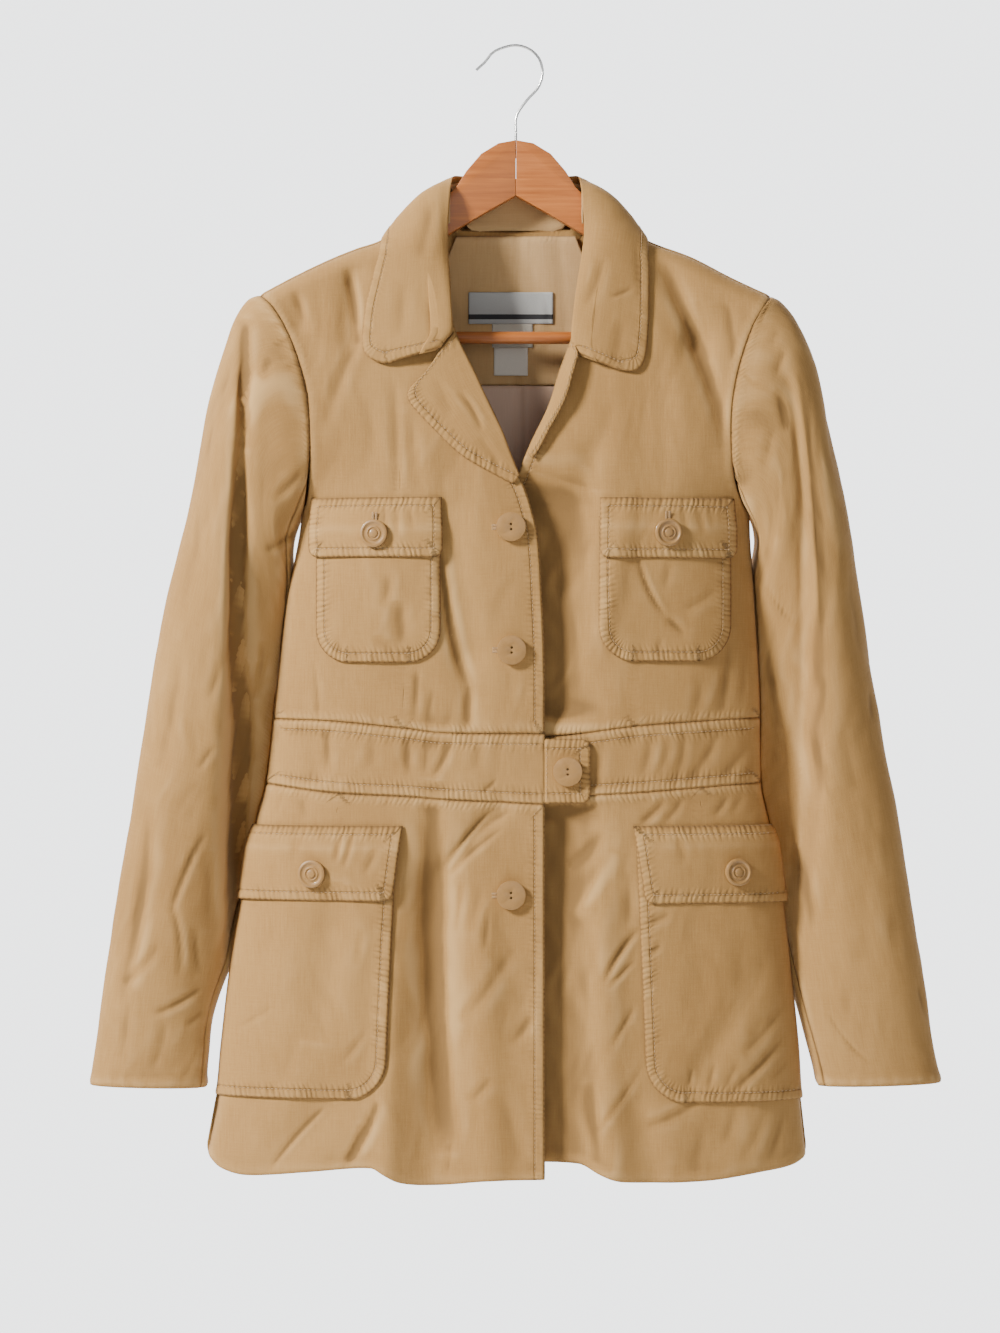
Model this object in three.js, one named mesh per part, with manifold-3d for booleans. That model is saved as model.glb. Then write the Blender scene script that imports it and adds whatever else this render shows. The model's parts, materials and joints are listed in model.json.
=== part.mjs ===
// Utility jacket on a wooden hanger, buttoned up and hanging as flat as a garment hangs.
// Millimetres, +Z up, the front faces -Y, left and right are the viewer's.
// The origin is the inside top of the hook, where it bears.

import * as THREE from "three";
import { mergeVertices } from "three/addons/utils/BufferGeometryUtils.js";
import Module from "manifold-3d";

const wasm = await Module();
wasm.setup();

// Driving dimensions of the cloth
const CLOTH = 1.6; // wall of the body, sleeves and collar
const PATCH = 1.2; // wall of pockets, flaps, facing and lining
const LABEL = 1.0; // wall of the woven labels
const SEAM = 0.3; // gap between two pieces that are sewn together
const LAID_GAP = 1; // gap under a piece that lies on another, where folds pass below it
const RIDGE_ROUND = 16; // radius of the cloth where it rolls over the shoulder
const SHOULDER_SEAM_FORWARD = 7; // shoulder seam, measured over the roll to the front
const SHOULDER_GAP = 0.9; // the two sides of that seam, which curve in two ways
const SHOULDER_POINT_SHARE = 0.12; // share of the seam over which it runs in to the shoulder point
const LAP = 3.6; // how far the right front lies behind the left one
const LAP_FROM = 20; // the right front is fully behind up to here
const LAP_TO = 74; // and level with the left one from here on
const UNDERLAP_X = -30; // hidden edge of the right front
const BACK_NECK_Z = -148;
const UNDERARM_Z = -374;
const BAND_TOP_Z = -541; // seams of the waistband at the side seams and across the back
const BAND_FOOT_Z = -593;
const FRONT_EDGE_X = 22.5; // edge of the left front below the waist
const HEM_BACK_Z = -900;
const SECTION_SQUARE = 2.6; // over 2 the body's section is fuller at the sides than an ellipse
const OPEN_AT_SHOULDER = 0.12; // how little the section closes in above the armholes
const ARMHOLE_OPEN_Z = -285; // it closes in from here down to the underarm

// Driving dimensions of the hanger
const ARM_THICK = 12;
const ARM_UNDER_CLOTH = 8; // top of an arm below the top line of the cloth
const BAR_RADIUS = 5;
const BAR_Z = -234.5;
const BAR_END = 184;
const BAR_SOCKET_FROM = 150;
const WIRE_RADIUS = 1.2;
const WIRE_FOOT_Z = -90;
const WIRE_HOLE_LENGTH = 30; // cut from there up and out of the wood
const FIT = 0.3; // clearance of a bar or wire in its hole

// Buttons
const BUTTON_RADIUS = 11;
const BUTTON_THICK = 3.4;
const BUTTON_SIDES = 12;
const BUTTON_GAP = 0.5; // a button's shank holds it this far off the cloth
const TAB_BUTTON_X = 41.5;

// Sections of the jacket. Each table names its columns and has a row for each section.
function table(names, rows) {
  const keys = names.split(" ");
  return rows.map((row) => Object.fromEntries(keys.map((key, at) => [key, row[at]])));
}

// Side edges as seen from the front. Above the underarm they only steer the curvature.
const SIDES = table("z left right", [
  [-100, -290, 290],
  [-200, -262, 258],
  [-260, -236, 236],
  [-311, -208, 216],
  [-350, -181, 196],
  [-374, -173, 189],
  [-446, -185, 193],
  [-526, -194, 197],
  [-595, -202, 198],
  [-624, -210, 204],
  [-683, -219, 213],
  [-736, -228, 219],
  [-804, -236, 226],
  [-835, -239, 228],
  [-892, -249, 234],
]);

// How far the front and the back stand off the plane through the side seams
const DEPTHS = table("z front back", [
  [-100, 14, 13],
  [-150, 16, 16],
  [-200, 22, 21],
  [-260, 30, 26],
  [-320, 37, 28],
  [-388, 43, 29],
  [-460, 42, 28],
  [-546, 39, 26],
  [-620, 40, 27],
  [-720, 43, 29],
  [-820, 46, 31],
  [-912, 49, 33],
]);

// Top line of the shoulders
const RIDGE = table("x z", [
  [-206, -200],
  [-180, -186],
  [-151, -172],
  [-129, -163],
  [-107, -155],
  [-77, -133],
  [-55, -115],
  [0, -113],
  [55, -115],
  [78, -134],
  [102, -154],
  [142, -170],
  [173, -186],
  [205, -201],
]);

const ARMHOLE_LEFT = table("x z", [
  [-206, -200],
  [-194, -212],
  [-182, -232],
  [-173, -255],
  [-166, -283],
  [-164, -318],
  [-165, -342],
  [-167, -360],
  [-170, -371],
  [-173, -374],
]);
const ARMHOLE_RIGHT = table("x z", [
  [205, -201],
  [192, -222],
  [185, -238],
  [177, -264],
  [172, -294],
  [172, -325],
  [175, -350],
  [182, -368],
  [186, -373],
  [189, -374],
]);

// Neckline, roll line and front edge of each front, from the neck point down
const EDGE_LEFT = table("x z", [
  [-56, -119],
  [-56, -148],
  [-53, -190],
  [-50, -229],
  [-31, -272],
  [-12, -312],
  [-1, -344],
  [6, -358],
  [12, -376],
  [17, -398],
  [20, -446],
  [22, -500],
  [22, -553],
]);
const EDGE_RIGHT = table("x z", [
  [57, -119],
  [55, -152],
  [51, -198],
  [45, -236],
  [34, -267],
  [26, -293],
  [12, -322],
  [1, -348],
  [-12, -372],
  [-24, -400],
  [UNDERLAP_X, -440],
  [UNDERLAP_X, -500],
  [UNDERLAP_X, -556],
]);

// Seams of the waistband and the hem, across each front
const WAIST_LEFT = table("x top bottom", [
  [-202, -541, -593],
  [-146, -543, -600],
  [-85, -549, -603],
  [-61, -552, -605],
  [22, -553, -609],
]);
const WAIST_RIGHT = table("x top bottom", [
  [UNDERLAP_X, -556, -606],
  [31, -555, -603],
  [95, -547, -600],
  [148, -543, -596],
  [198, -540, -592],
]);
const HEM_LEFT = table("x z", [
  [-249, -890],
  [-238, -900],
  [-216, -905],
  [-166, -901],
  [-116, -897],
  [-106, -902],
  [-91, -909],
  [-65, -911],
  [-24, -907],
  [23, -906],
]);
const HEM_RIGHT = table("x z", [
  [UNDERLAP_X, -894],
  [48, -894],
  [65, -902],
  [86, -908],
  [151, -908],
  [198, -902],
  [222, -898],
  [234, -892],
]);

// The largest folds: a soft ridge (height over 0) or trough along a line
const FOLDS_FRONT = table("fromX fromZ toX toZ width height", [
  [-131, -182, -134, -238, 9, -3],
  [-176, -196, -172, -226, 7, -2],
  [-55, -378, -39, -490, 14, -3.5],
  [-39, -490, -36, -545, 12, -2.5],
  [112, -158, 142, -240, 13, -5],
  [142, -240, 168, -320, 13, -4],
  [60, -330, 40, -430, 12, -3],
  [88, -372, 70, -470, 9, 2],
  [-64, -680, -66, -912, 20, -7],
  [-96, -720, -104, -905, 12, 4],
  [-26, -700, -20, -905, 14, 3],
  [-12, -612, -58, -662, 8, -2.5],
  [-150, -850, -200, -900, 16, -3],
  [66, -690, 74, -905, 15, 4],
  [96, -850, 108, -908, 12, -3],
  [196, -740, 140, -830, 12, -3],
]);
const FOLDS_BACK = table("fromX fromZ toX toZ width height", [
  [-122, -215, -100, -330, 18, -4],
  [118, -215, 96, -340, 18, -4],
  [-150, -380, -105, -470, 18, -3],
  [150, -390, 104, -500, 18, -3],
  [-10, -300, -16, -520, 26, -2.5],
  [-120, -640, -134, -905, 24, -6],
  [-66, -700, -70, -905, 20, 4],
  [10, -660, 14, -905, 24, -5],
  [88, -680, 96, -905, 20, 4],
  [150, -650, 162, -905, 22, -6],
]);

// Sleeves: a row for each ring from the armhole to the hem. The ring runs from the outer edge
// to the inner one as seen from the front. foldAt is where the long fold lies between them, as
// a share of that way, and behind is how much of the front's depth is lost past the fold.
const SLEEVE_LEFT = table("outX outZ inX inZ foldAt valley behind front back", [
  [-206, -200, -174, -374, 0.1, 0, 0, 24, 22],
  [-216, -206, -176.5, -387, 0.14, 1, 0, 31, 25],
  [-226, -222, -181, -400, 0.18, 3, 2, 35, 27],
  [-234, -246, -186, -418, 0.28, 5, 4, 37, 28],
  [-249, -298, -192, -442, 0.44, 6, 8, 38, 29],
  [-264, -371, -196, -478, 0.52, 6, 16, 38, 29],
  [-282, -452, -201, -530, 0.62, 4, 30, 37, 28],
  [-295, -526, -207, -578, 0.66, 3, 38, 36, 27],
  [-309, -612, -220, -638, 0.75, 3, 38, 34, 26],
  [-322, -684, -229, -694, 0.84, 2, 24, 32, 25],
  [-333, -762, -242, -758, 0.88, 1, 8, 30, 24],
  [-338, -800, -245, -798, 0.9, 0, 2, 28, 23],
  [-343, -835, -248, -837, 0.9, 0, 0, 27, 22],
]);
const SLEEVE_RIGHT = table("outX outZ inX inZ foldAt valley behind front back", [
  [205, -201, 190, -374, 0.1, 0, 0, 24, 22],
  [214, -206, 192.5, -388, 0.16, 1, 0, 31, 25],
  [227, -222, 195, -403, 0.22, 3, 2, 35, 27],
  [238, -248, 197.5, -420, 0.3, 5, 4, 37, 28],
  [250, -298, 199, -446, 0.36, 6, 8, 38, 29],
  [266, -371, 201, -486, 0.46, 6, 16, 38, 29],
  [278, -452, 204, -530, 0.51, 5, 28, 37, 28],
  [290, -526, 207, -578, 0.56, 4, 38, 36, 27],
  [306, -612, 216, -638, 0.66, 3, 38, 34, 26],
  [318, -684, 224, -694, 0.8, 2, 24, 32, 25],
  [330, -758, 229, -758, 0.88, 1, 8, 30, 24],
  [335, -798, 235, -798, 0.9, 0, 2, 28, 23],
  [342, -833, 243, -836, 0.9, 0, 0, 27, 22],
]);
const SLEEVE_RING_STEPS = [0, 0.4, 1, 2, 3, 4, 5, 6, 7, 8, 9, 10, 11, 12];
const ARMHOLE_RINGS = 3; // rings over which the armhole's shape dies out
const SLEEVE_SQUARE = 0.8; // under 1 the sleeve's section is fuller than an ellipse
const FOLD_TURN = 0.15; // share of the way in over which the cloth turns back at the long fold
const VALLEY_IN = 0.05; // the valley beside that fold, past it and its half width
const VALLEY_HALF = 0.06;
const SEAT_OFF = [0.4, 0.2]; // sleeve off the armhole, at the shoulder and at the underarm
const SEAT_OUT = 1.5; // the sleeve's underarm stands out over the body's
const TURN_STEP = 0.004; // step along a ring or an armhole from which directions are taken
const RING_STEP = 0.05; // step along a sleeve
const FRONT_SLEEVE_SEAM = 0.86; // seam between top and under sleeve, as a share of the front half
const BACK_SLEEVE_SEAM = 0.42; // and of the back half
const SEAM_TURN = 0.002; // half the gap at those seams
const FOLD_TURNS = [0.56, 0.69, 0.81]; // extra columns where the long fold runs
const UNDER_TURNS = [0.93, 1, 1.07, 1.16, 1.28, 1.42]; // columns of the under sleeve

// Shares of the armhole's length, from the shoulder point to the underarm
const SEAM_SHARE = 0.037; // where the shoulder seam meets the front armhole
const FRONT_ARMHOLE = [SEAM_SHARE, 0.08, 0.13, 0.25, 0.375, 0.5, 0.625, 0.75, 0.875, 1];
const BACK_ARMHOLE = [0, 0.045, 0.09, 0.13, 0.25, 0.375, 0.5, 0.625, 0.75, 0.875, 1];
const SIDE_ROWS = 6;
const SKIRT_ROWS = 10;

// Columns of the back, as places across the shoulders
const BACK_COLUMNS = [-206, -200, -189, -171, -149, -126, -103, -79, -57, -55.5, -54, -51, -44, -22, 0]
  .concat([22, 44, 51, 54, 55.5, 57, 79, 103, 126, 148, 170, 188, 199, 205]);

// Back neckline: its way over the shoulder line, from the middle out to the shoulder seam
const NECKLINE = table("x over", [
  [0, -44.2],
  [22, -43.8],
  [44, -42.3],
  [51, -36],
  [54, -15],
  [55.5, -3],
  [57, SHOULDER_SEAM_FORWARD - SHOULDER_GAP],
]);

// Collar ribs from the front corner of the leaf round to the middle of the back. roll is the
// turned edge round the neck, edge is the free edge. over tells where the free edge lies: its
// way from the shoulder line, down the front if over 0 and down the back if under 0.
const COLLAR_LEFT = table("rollX rollY rollZ edgeX over bow", [
  [-61.5, -33, -245.5, -103, 115, 3],
  [-57, -33, -239, -117, 103, 3],
  [-52, -32, -230, -122, 92, 3],
  [-53, -29, -206, -120, 64, 3],
  [-55, -25, -176, -113, 34, 5],
  [-56, -22, -148, -107, 14, 8],
  [-55, -15, -119, -104, 2, 9],
  [-53, -2, -107, -99, -14, 9],
  [-51, 5, -104.5, -94, -24, 10],
  [-47, 12, -103.5, -85, -38, 10],
  [-34, 18, -104, -58, -64, 6],
  [-17, 21.5, -104.5, -28, -75, 2],
  [0, 22.5, -105, 0, -77, 2],
]);
const COLLAR_RIGHT = table("rollX rollY rollZ edgeX over bow", [
  [50, -33, -250, 80, 137, 3],
  [47, -33, -243, 95, 124, 3],
  [45, -32, -236, 103, 108, 3],
  [48, -29, -206, 106, 78, 3],
  [53, -25, -174, 106, 40, 5],
  [56, -22, -148, 105, 14, 8],
  [55, -15, -119, 102, 2, 9],
  [53, -2, -107, 98, -14, 9],
  [51, 5, -104.5, 94, -24, 10],
  [47, 12, -103.5, 85, -38, 10],
  [34, 18, -104, 58, -64, 6],
  [17, 21.5, -104.5, 28, -75, 2],
]);
// The stand, from the front of the neck to the middle of the back
const STAND = table("topX topY topZ footX footY footZ", [
  [54.6, -15, -137, 54.6, -14, -144],
  [54.8, -11.5, -124, 54.8, -10.5, -129],
  [54.4, -7.2, -114.9, 54.6, -7.2, -117.2],
  [54, 0, -111.4, 54.3, 0, -114],
  [52, 7.2, -110.4, 53, 7.2, -114.6],
  [45, 12.5, -108.5, 47, 12.5, -130],
  [34, 15.5, -108.5, 36, 14.8, -145.9],
  [17, 17, -108.5, 18, 15.8, -146.3],
  [0, 17.4, -108.5, 0, 16, -146.3],
]);
const COLLAR_SHARES = [-1, 0, 0.1, 0.3, 0.55, 0.8, 1];
const COLLAR_CURL = 0.8; // how far the roll turns under
const COLLAR_LIFT = 3.4; // free edge over the cloth below

const LAPEL_LEFT = table("rollX rollZ edgeX edgeZ lift", [
  [-50.5, -233.5, -60, -247, 2.4],
  [-47, -240, -72, -264, 2.8],
  [-41, -252, -85, -278, 3.2],
  [-34, -266, -86, -286, 3.4],
  [-29, -277, -80, -295, 3.6],
  [-21, -294, -62, -314, 3.8],
  [-12, -313, -44, -331, 3.6],
  [-6, -329, -24, -343, 3],
  [2, -349, -2, -354, 2.4],
]);
const LAPEL_RIGHT = table("rollX rollZ edgeX edgeZ lift", [
  [45.5, -240, 50, -252, 7],
  [40, -254, 46, -266, 8],
  [34, -268, 41, -284, 8],
  [28, -287, 34, -299, 7],
  [20, -306, 27, -311, 6],
  [13, -321, 19, -326, 4.5],
  [9.5, -329, 13, -334, 3.5],
]);

// Inside of the neck: the facing narrows up to the neck seam, the lining hangs below it
const FACING = { top: BACK_NECK_Z - 3, foot: -271.5, topHalf: 48, footHalf: 96 };
const LINING_HALF = 100;
const FACING_LIFT = CLOTH + LAID_GAP + SEAM;
const LABEL_LIFT = FACING_LIFT + PATCH + SEAM;
const LABELS = table("name left right top bottom", [
  ["main_label", -38, 30, -196, -221],
  ["size_label", -19, 13.5, -221.5, -240],
  ["care_label", -17.5, 9.5, -240.5, -263],
]);

// Patch pockets and flaps. side and inner are their upright edges as shares or places.
const CHEST_POCKETS = table("name left right top bottom corner flapLeft flapRight flapTop", [
  ["left", -159, -60, -382, -496, 26, -163, -59, -364.5],
  ["right", 66, 171, -380, -495, 28, 67, 174, -365],
]);
const CHEST_FLAP_HEIGHT = 48;
const FLAP_CORNER = 7;
const HIP_POCKETS = table("name inner innerFoot top bottom corner flapInner flapFoot flapTop flapBottom", [
  ["left", -95, -104, -636, -843, 30, -90, -98.5, -626, -686],
  ["right", 95, 104, -634, -846, 32, 93, 102.5, -626, -688],
]);
const POCKET_LIFT = PATCH + LAID_GAP;
const POCKET_BULGE = 1.4; // the pocket's middle stands off this much more
const FLAP_LIFT = 2 * POCKET_LIFT;
const FLAP_OVER_POCKET = FLAP_LIFT + POCKET_BULGE / 2;
const FLAP_BULGE = 1;
const HIP_EDGE_SHARE = 0.9985; // outer edge of a hip pocket, as a share of the way to the side seam

// Waist tab, and how far it stands off where it leaves the left front and at its tip
const TAB = { from: 22.8, to: 59, top: -557, bottom: -608, round: 7, liftFrom: 3.7, liftTo: 2.3 };

// Buttons: place on the front, and how far the cloth under each stands off the body
const BUTTONS = table("name x z piece", [
  ["front_button_top", -4, -388.5, "front"],
  ["front_button_middle", -3.5, -486, "front"],
  ["front_button_low", -4, -681, "front"],
  ["waist_tab_button", TAB_BUTTON_X, -583, "tab"],
  ["chest_button_left", -111, -394, "flap"],
  ["chest_button_right", 119.5, -393, "flap"],
  ["hip_button_left", -160.5, -664.5, "flap"],
  ["hip_button_right", 174.5, -663.5, "flap"],
]);

// An arm's outline: over its neck, along under the shoulder, then round its tip and back below
const ARM_NECK = table("x z", [
  [SEAM / 2, -76],
  [14, -78.5],
  [28, -87],
  [40, -101],
  [48, -114],
]);
const ARM_UNDER_SHOULDER = [60, 76, 100, 130, 160, 186];
const ARM_TIP_AND_FOOT = table("x z", [
  [196, -208],
  [199, -222],
  [196, -238],
  [188, -245],
  [176, -243],
  [150, -219],
  [120, -194],
  [88, -173],
  [55, -152],
  [26, -135],
  [SEAM / 2, -120.5],
]);

const HOOK = table("x z", [
  [0, WIRE_FOOT_Z],
  [0, -70],
  [0.5, -56],
  [9, -43],
  [18, -33],
  [21.5, -22],
  [19, -10],
  [11, -2],
  [0, WIRE_RADIUS],
  [-11, -1],
  [-19, -5],
  [-24.5, -12],
  [-32, -19],
]);

// Materials
function finish(colour, roughness, metalness) {
  return () => new THREE.MeshStandardMaterial({ color: colour, roughness, metalness });
}
const cotton = finish(0xd2b080, 0.9, 0);
const liningCloth = finish(0xc9a586, 0.7, 0);
const labelCloth = finish(0xb9b8b2, 0.8, 0);
const buttonShell = finish(0xb4925f, 0.45, 0);
const wood = finish(0xcd8a4f, 0.5, 0);
const steel = finish(0xb8b8b8, 0.3, 1);

// Reading the tables
function mix(a, b, share) {
  return a + (b - a) * share;
}

function smooth(from, to, at) {
  const share = Math.min(Math.max((at - from) / (to - from), 0), 1);
  return share * share * (3 - 2 * share);
}

// The value of a column at a place of the key column, on a smooth curve through the rows
function along(rows, key, column, at) {
  const last = rows.length - 1;
  const way = rows[last][key] > rows[0][key] ? 1 : -1;
  let first = 0;
  while (first < last - 1 && (at - rows[first + 1][key]) * way > 0) {
    first += 1;
  }
  const slope = (row) => {
    const before = rows[Math.max(row - 1, 0)];
    const after = rows[Math.min(row + 1, last)];
    return (after[column] - before[column]) / (after[key] - before[key]);
  };
  const [a, b] = [rows[first], rows[first + 1]];
  const span = b[key] - a[key];
  const f = Math.min(Math.max((at - a[key]) / span, 0), 1);
  const rise = b[column] - a[column];
  const bend = f * (1 - f) * ((slope(first) * span - rise) * (1 - f) - (slope(first + 1) * span - rise) * f);
  return a[column] + rise * f + bend;
}

// Gives each row of a line its share of the way along it, so that the line can be walked
function measured(rows) {
  let length = 0;
  const runs = rows.map((row, at) => {
    if (at > 0) {
      length += Math.hypot(row.x - rows[at - 1].x, row.z - rows[at - 1].z);
    }
    return length;
  });
  return rows.map((row, at) => ({ ...row, run: runs[at] / length }));
}

function walk(line, share) {
  return { x: along(line, "run", "x", share), z: along(line, "run", "z", share) };
}

// The body's surface. A place on it is x and z as seen from the front, on the side named.
function foldHeight(x, z, rows) {
  let height = 0;
  for (const fold of rows) {
    const dx = fold.toX - fold.fromX;
    const dz = fold.toZ - fold.fromZ;
    const share = ((x - fold.fromX) * dx + (z - fold.fromZ) * dz) / (dx * dx + dz * dz);
    const near = Math.min(Math.max(share, 0), 1);
    const away = Math.hypot(x - fold.fromX - near * dx, z - fold.fromZ - near * dz);
    height += fold.height * Math.exp(-((away / fold.width) ** 2));
  }
  return height;
}

function acrossShare(x, z) {
  const left = along(SIDES, "z", "left", z);
  const right = along(SIDES, "z", "right", z);
  return (2 * x - left - right) / (right - left);
}

function relief(x, z, side) {
  const rows = side === "back" ? FOLDS_BACK : FOLDS_FRONT;
  const across = Math.min(Math.abs(acrossShare(x, z)), 1);
  const down = along(RIDGE, "x", "z", x) - z;
  const calm = (1 - across ** 6) * smooth(2, 30, down);
  const under = side === "right" ? LAP * (1 - smooth(LAP_FROM, LAP_TO, x)) * smooth(-240, -330, z) : 0;
  return foldHeight(x, z, rows) * calm - under;
}

function fullness(x, z) {
  const sideways = mix(OPEN_AT_SHOULDER, 1, smooth(ARMHOLE_OPEN_Z, UNDERARM_Z, z));
  const ridge = Math.max(1 - (along(RIDGE, "x", "z", x) - z) / RIDGE_ROUND, 0);
  return (1 - sideways * Math.abs(acrossShare(x, z)) ** SECTION_SQUARE) * (1 - ridge * ridge);
}

function outward(x, y, z, side) {
  const sign = side === "back" ? -1 : 1;
  const field = (px, py, pz) => {
    const depth = along(DEPTHS, "z", side === "back" ? "back" : "front", pz);
    return ((py + sign * relief(px, pz, side)) / depth) ** 2 - fullness(px, pz);
  };
  const step = 0.5;
  return new THREE.Vector3(
    field(x + step, y, z) - field(x - step, y, z),
    field(x, y + step, z) - field(x, y - step, z),
    field(x, y, z + step) - field(x, y, z - step),
  ).normalize();
}

// A point of the body's surface, lifted off it along the normal
function onBody(x, z, side, lift = 0) {
  const sign = side === "back" ? 1 : -1;
  const depth = along(DEPTHS, "z", side === "back" ? "back" : "front", z);
  const y = sign * (depth * Math.sqrt(Math.max(fullness(x, z), 0)) + relief(x, z, side));
  const normal = outward(x, y, z, side);
  const point = new THREE.Vector3(x, y, z).addScaledVector(normal, lift);
  return { point, normal };
}

// Flat height: the height that a place would have if the roll over the shoulder were laid flat
const QUARTER = (RIDGE_ROUND * Math.PI) / 2;
const ROLL_EXTRA = QUARTER - RIDGE_ROUND;

function flatHeight(x, z) {
  const top = along(RIDGE, "x", "z", x);
  const drop = top - z;
  if (drop >= RIDGE_ROUND) {
    return z;
  }
  return top + ROLL_EXTRA - RIDGE_ROUND * Math.acos(1 - Math.max(drop, 0) / RIDGE_ROUND);
}

// A point at a way over the shoulder line: down the front if over 0, down the back if under 0
function overShoulder(x, over, front, lift = 0) {
  const far = Math.abs(over);
  const drop = far > QUARTER ? RIDGE_ROUND + far - QUARTER : RIDGE_ROUND * (1 - Math.cos(far / RIDGE_ROUND));
  const z = along(RIDGE, "x", "z", x) - drop;
  return onBody(x, z, over > 0 ? front : "back", lift);
}

function onFlat(x, flat, side) {
  const way = along(RIDGE, "x", "z", x) + ROLL_EXTRA - flat;
  return side === "back" ? overShoulder(x, -way, x < 0 ? "left" : "right") : overShoulder(x, way, side);
}

// A closed wall of cloth through a grid of places, its outer face on the places themselves
function wall(grid, thickness) {
  const rows = grid.length;
  const columns = grid[0].length;
  const positions = [];
  for (const layer of [0, thickness]) {
    for (const row of grid) {
      for (const place of row) {
        positions.push(...place.point.clone().addScaledVector(place.normal, -layer).toArray());
      }
    }
  }
  const inner = rows * columns;
  const at = (row, column) => row * columns + column;
  const faces = [];
  const quad = (a, b, c, d) => faces.push(a, b, c, a, c, d);
  for (let row = 0; row < rows - 1; row += 1) {
    for (let column = 0; column < columns - 1; column += 1) {
      const [a, b] = [at(row, column), at(row, column + 1)];
      const [c, d] = [at(row + 1, column + 1), at(row + 1, column)];
      quad(a, b, c, d);
      quad(d + inner, c + inner, b + inner, a + inner);
    }
  }
  const rim = [];
  for (let column = 0; column < columns; column += 1) {
    rim.push(at(0, column));
  }
  for (let row = 1; row < rows; row += 1) {
    rim.push(at(row, columns - 1));
  }
  for (let column = columns - 2; column >= 0; column -= 1) {
    rim.push(at(rows - 1, column));
  }
  for (let row = rows - 2; row > 0; row -= 1) {
    rim.push(at(row, 0));
  }
  // Two walls that meet at a seam split their rims the same way, so that they fit
  rim.forEach((corner, place) => {
    const next = rim[(place + 1) % rim.length];
    if (corner < next) {
      quad(corner, corner + inner, next + inner, next);
    } else {
      quad(next, corner, corner + inner, next + inner);
    }
  });
  const geometry = new THREE.BufferGeometry();
  geometry.setAttribute("position", new THREE.Float32BufferAttribute(positions, 3));
  geometry.setIndex(turnedOut(positions, faces));
  return geometry;
}

// Turns all faces round if they enclose a negative volume
function turnedOut(positions, faces) {
  const corner = (index) => new THREE.Vector3().fromArray(positions, index * 3);
  let volume = 0;
  for (let face = 0; face < faces.length; face += 3) {
    const [a, b, c] = [corner(faces[face]), corner(faces[face + 1]), corner(faces[face + 2])];
    volume += a.dot(b.cross(c));
  }
  return volume < 0 ? faces.slice().reverse() : faces;
}

const jacket = new THREE.Group();

function add(name, geometry, material) {
  const mesh = new THREE.Mesh(geometry, material());
  mesh.name = name;
  jacket.add(mesh);
  return mesh;
}

// A grid between four border lines, each a function of its share, in x and flat height
function patch(shares, rows, top, bottom, left, right) {
  return rows.map((row) => shares.map((share) => {
    const l = left(row);
    const r = right(row);
    const t = top(share);
    const b = bottom(share);
    const blend = (key) => {
      const corners = mix(mix(left(rows[0])[key], right(rows[0])[key], share),
        mix(left(rows.at(-1))[key], right(rows.at(-1))[key], share), row.share);
      return mix(l[key], r[key], share) + mix(t[key], b[key], row.share) - corners;
    };
    return { x: blend("x"), z: blend("z") };
  }));
}

function laid(grid, side) {
  return grid.map((row) => row.map((place) => onFlat(place.x, place.z, side)));
}

// Shares across a front, close together where the cloth turns round to the side seam
const frontShares = [0, 0.012, 0.04, 0.085, 0.145, 0.22, 0.3, 0.385, 0.47]
  .concat([0.555, 0.645, 0.735, 0.825, 0.915, 1]);
const backWidth = BACK_COLUMNS.at(-1) - BACK_COLUMNS[0];
const backShares = BACK_COLUMNS.map((x) => (x - BACK_COLUMNS[0]) / backWidth);

const FRONTS = {
  left: {
    sideKey: "left",
    armhole: measured(ARMHOLE_LEFT),
    edge: measured(EDGE_LEFT),
    waist: WAIST_LEFT,
    hem: HEM_LEFT,
    hemSideZ: HEM_LEFT[0].z,
    edgeX: FRONT_EDGE_X,
  },
  right: {
    sideKey: "right",
    armhole: measured(ARMHOLE_RIGHT),
    edge: measured(EDGE_RIGHT),
    waist: WAIST_RIGHT,
    hem: HEM_RIGHT,
    hemSideZ: HEM_RIGHT.at(-1).z,
    edgeX: UNDERLAP_X,
  },
};

function sideAt(key, z) {
  return along(SIDES, "z", key, z);
}

function waistZ(front, line, x) {
  return along(front.waist, "x", line, x);
}

// Rows of a bodice border: down the armhole, then down the side seam to the waistband
function bodiceRows(front, armholeShares, bandZ) {
  const rows = armholeShares.map((share) => {
    const place = walk(front.armhole, share);
    return { x: place.x, z: flatHeight(place.x, place.z) };
  });
  for (let step = 1; step <= SIDE_ROWS; step += 1) {
    const z = mix(UNDERARM_Z, bandZ, step / SIDE_ROWS);
    rows.push({ x: sideAt(front.sideKey, z), z });
  }
  const [top, foot] = [rows[0].z, rows.at(-1).z];
  return rows.map((row) => ({ ...row, share: (row.z - top) / (foot - top) }));
}

// Keeps the two walls that meet at a side seam a seam's width apart
function partedAtSide(grid, side) {
  const sign = side === "back" ? 1 : -1;
  for (const row of grid) {
    for (const place of row) {
      if (Math.abs(place.point.y) < SEAM / 2) {
        place.point.y = (sign * SEAM) / 2;
      }
    }
  }
  return grid;
}

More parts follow.
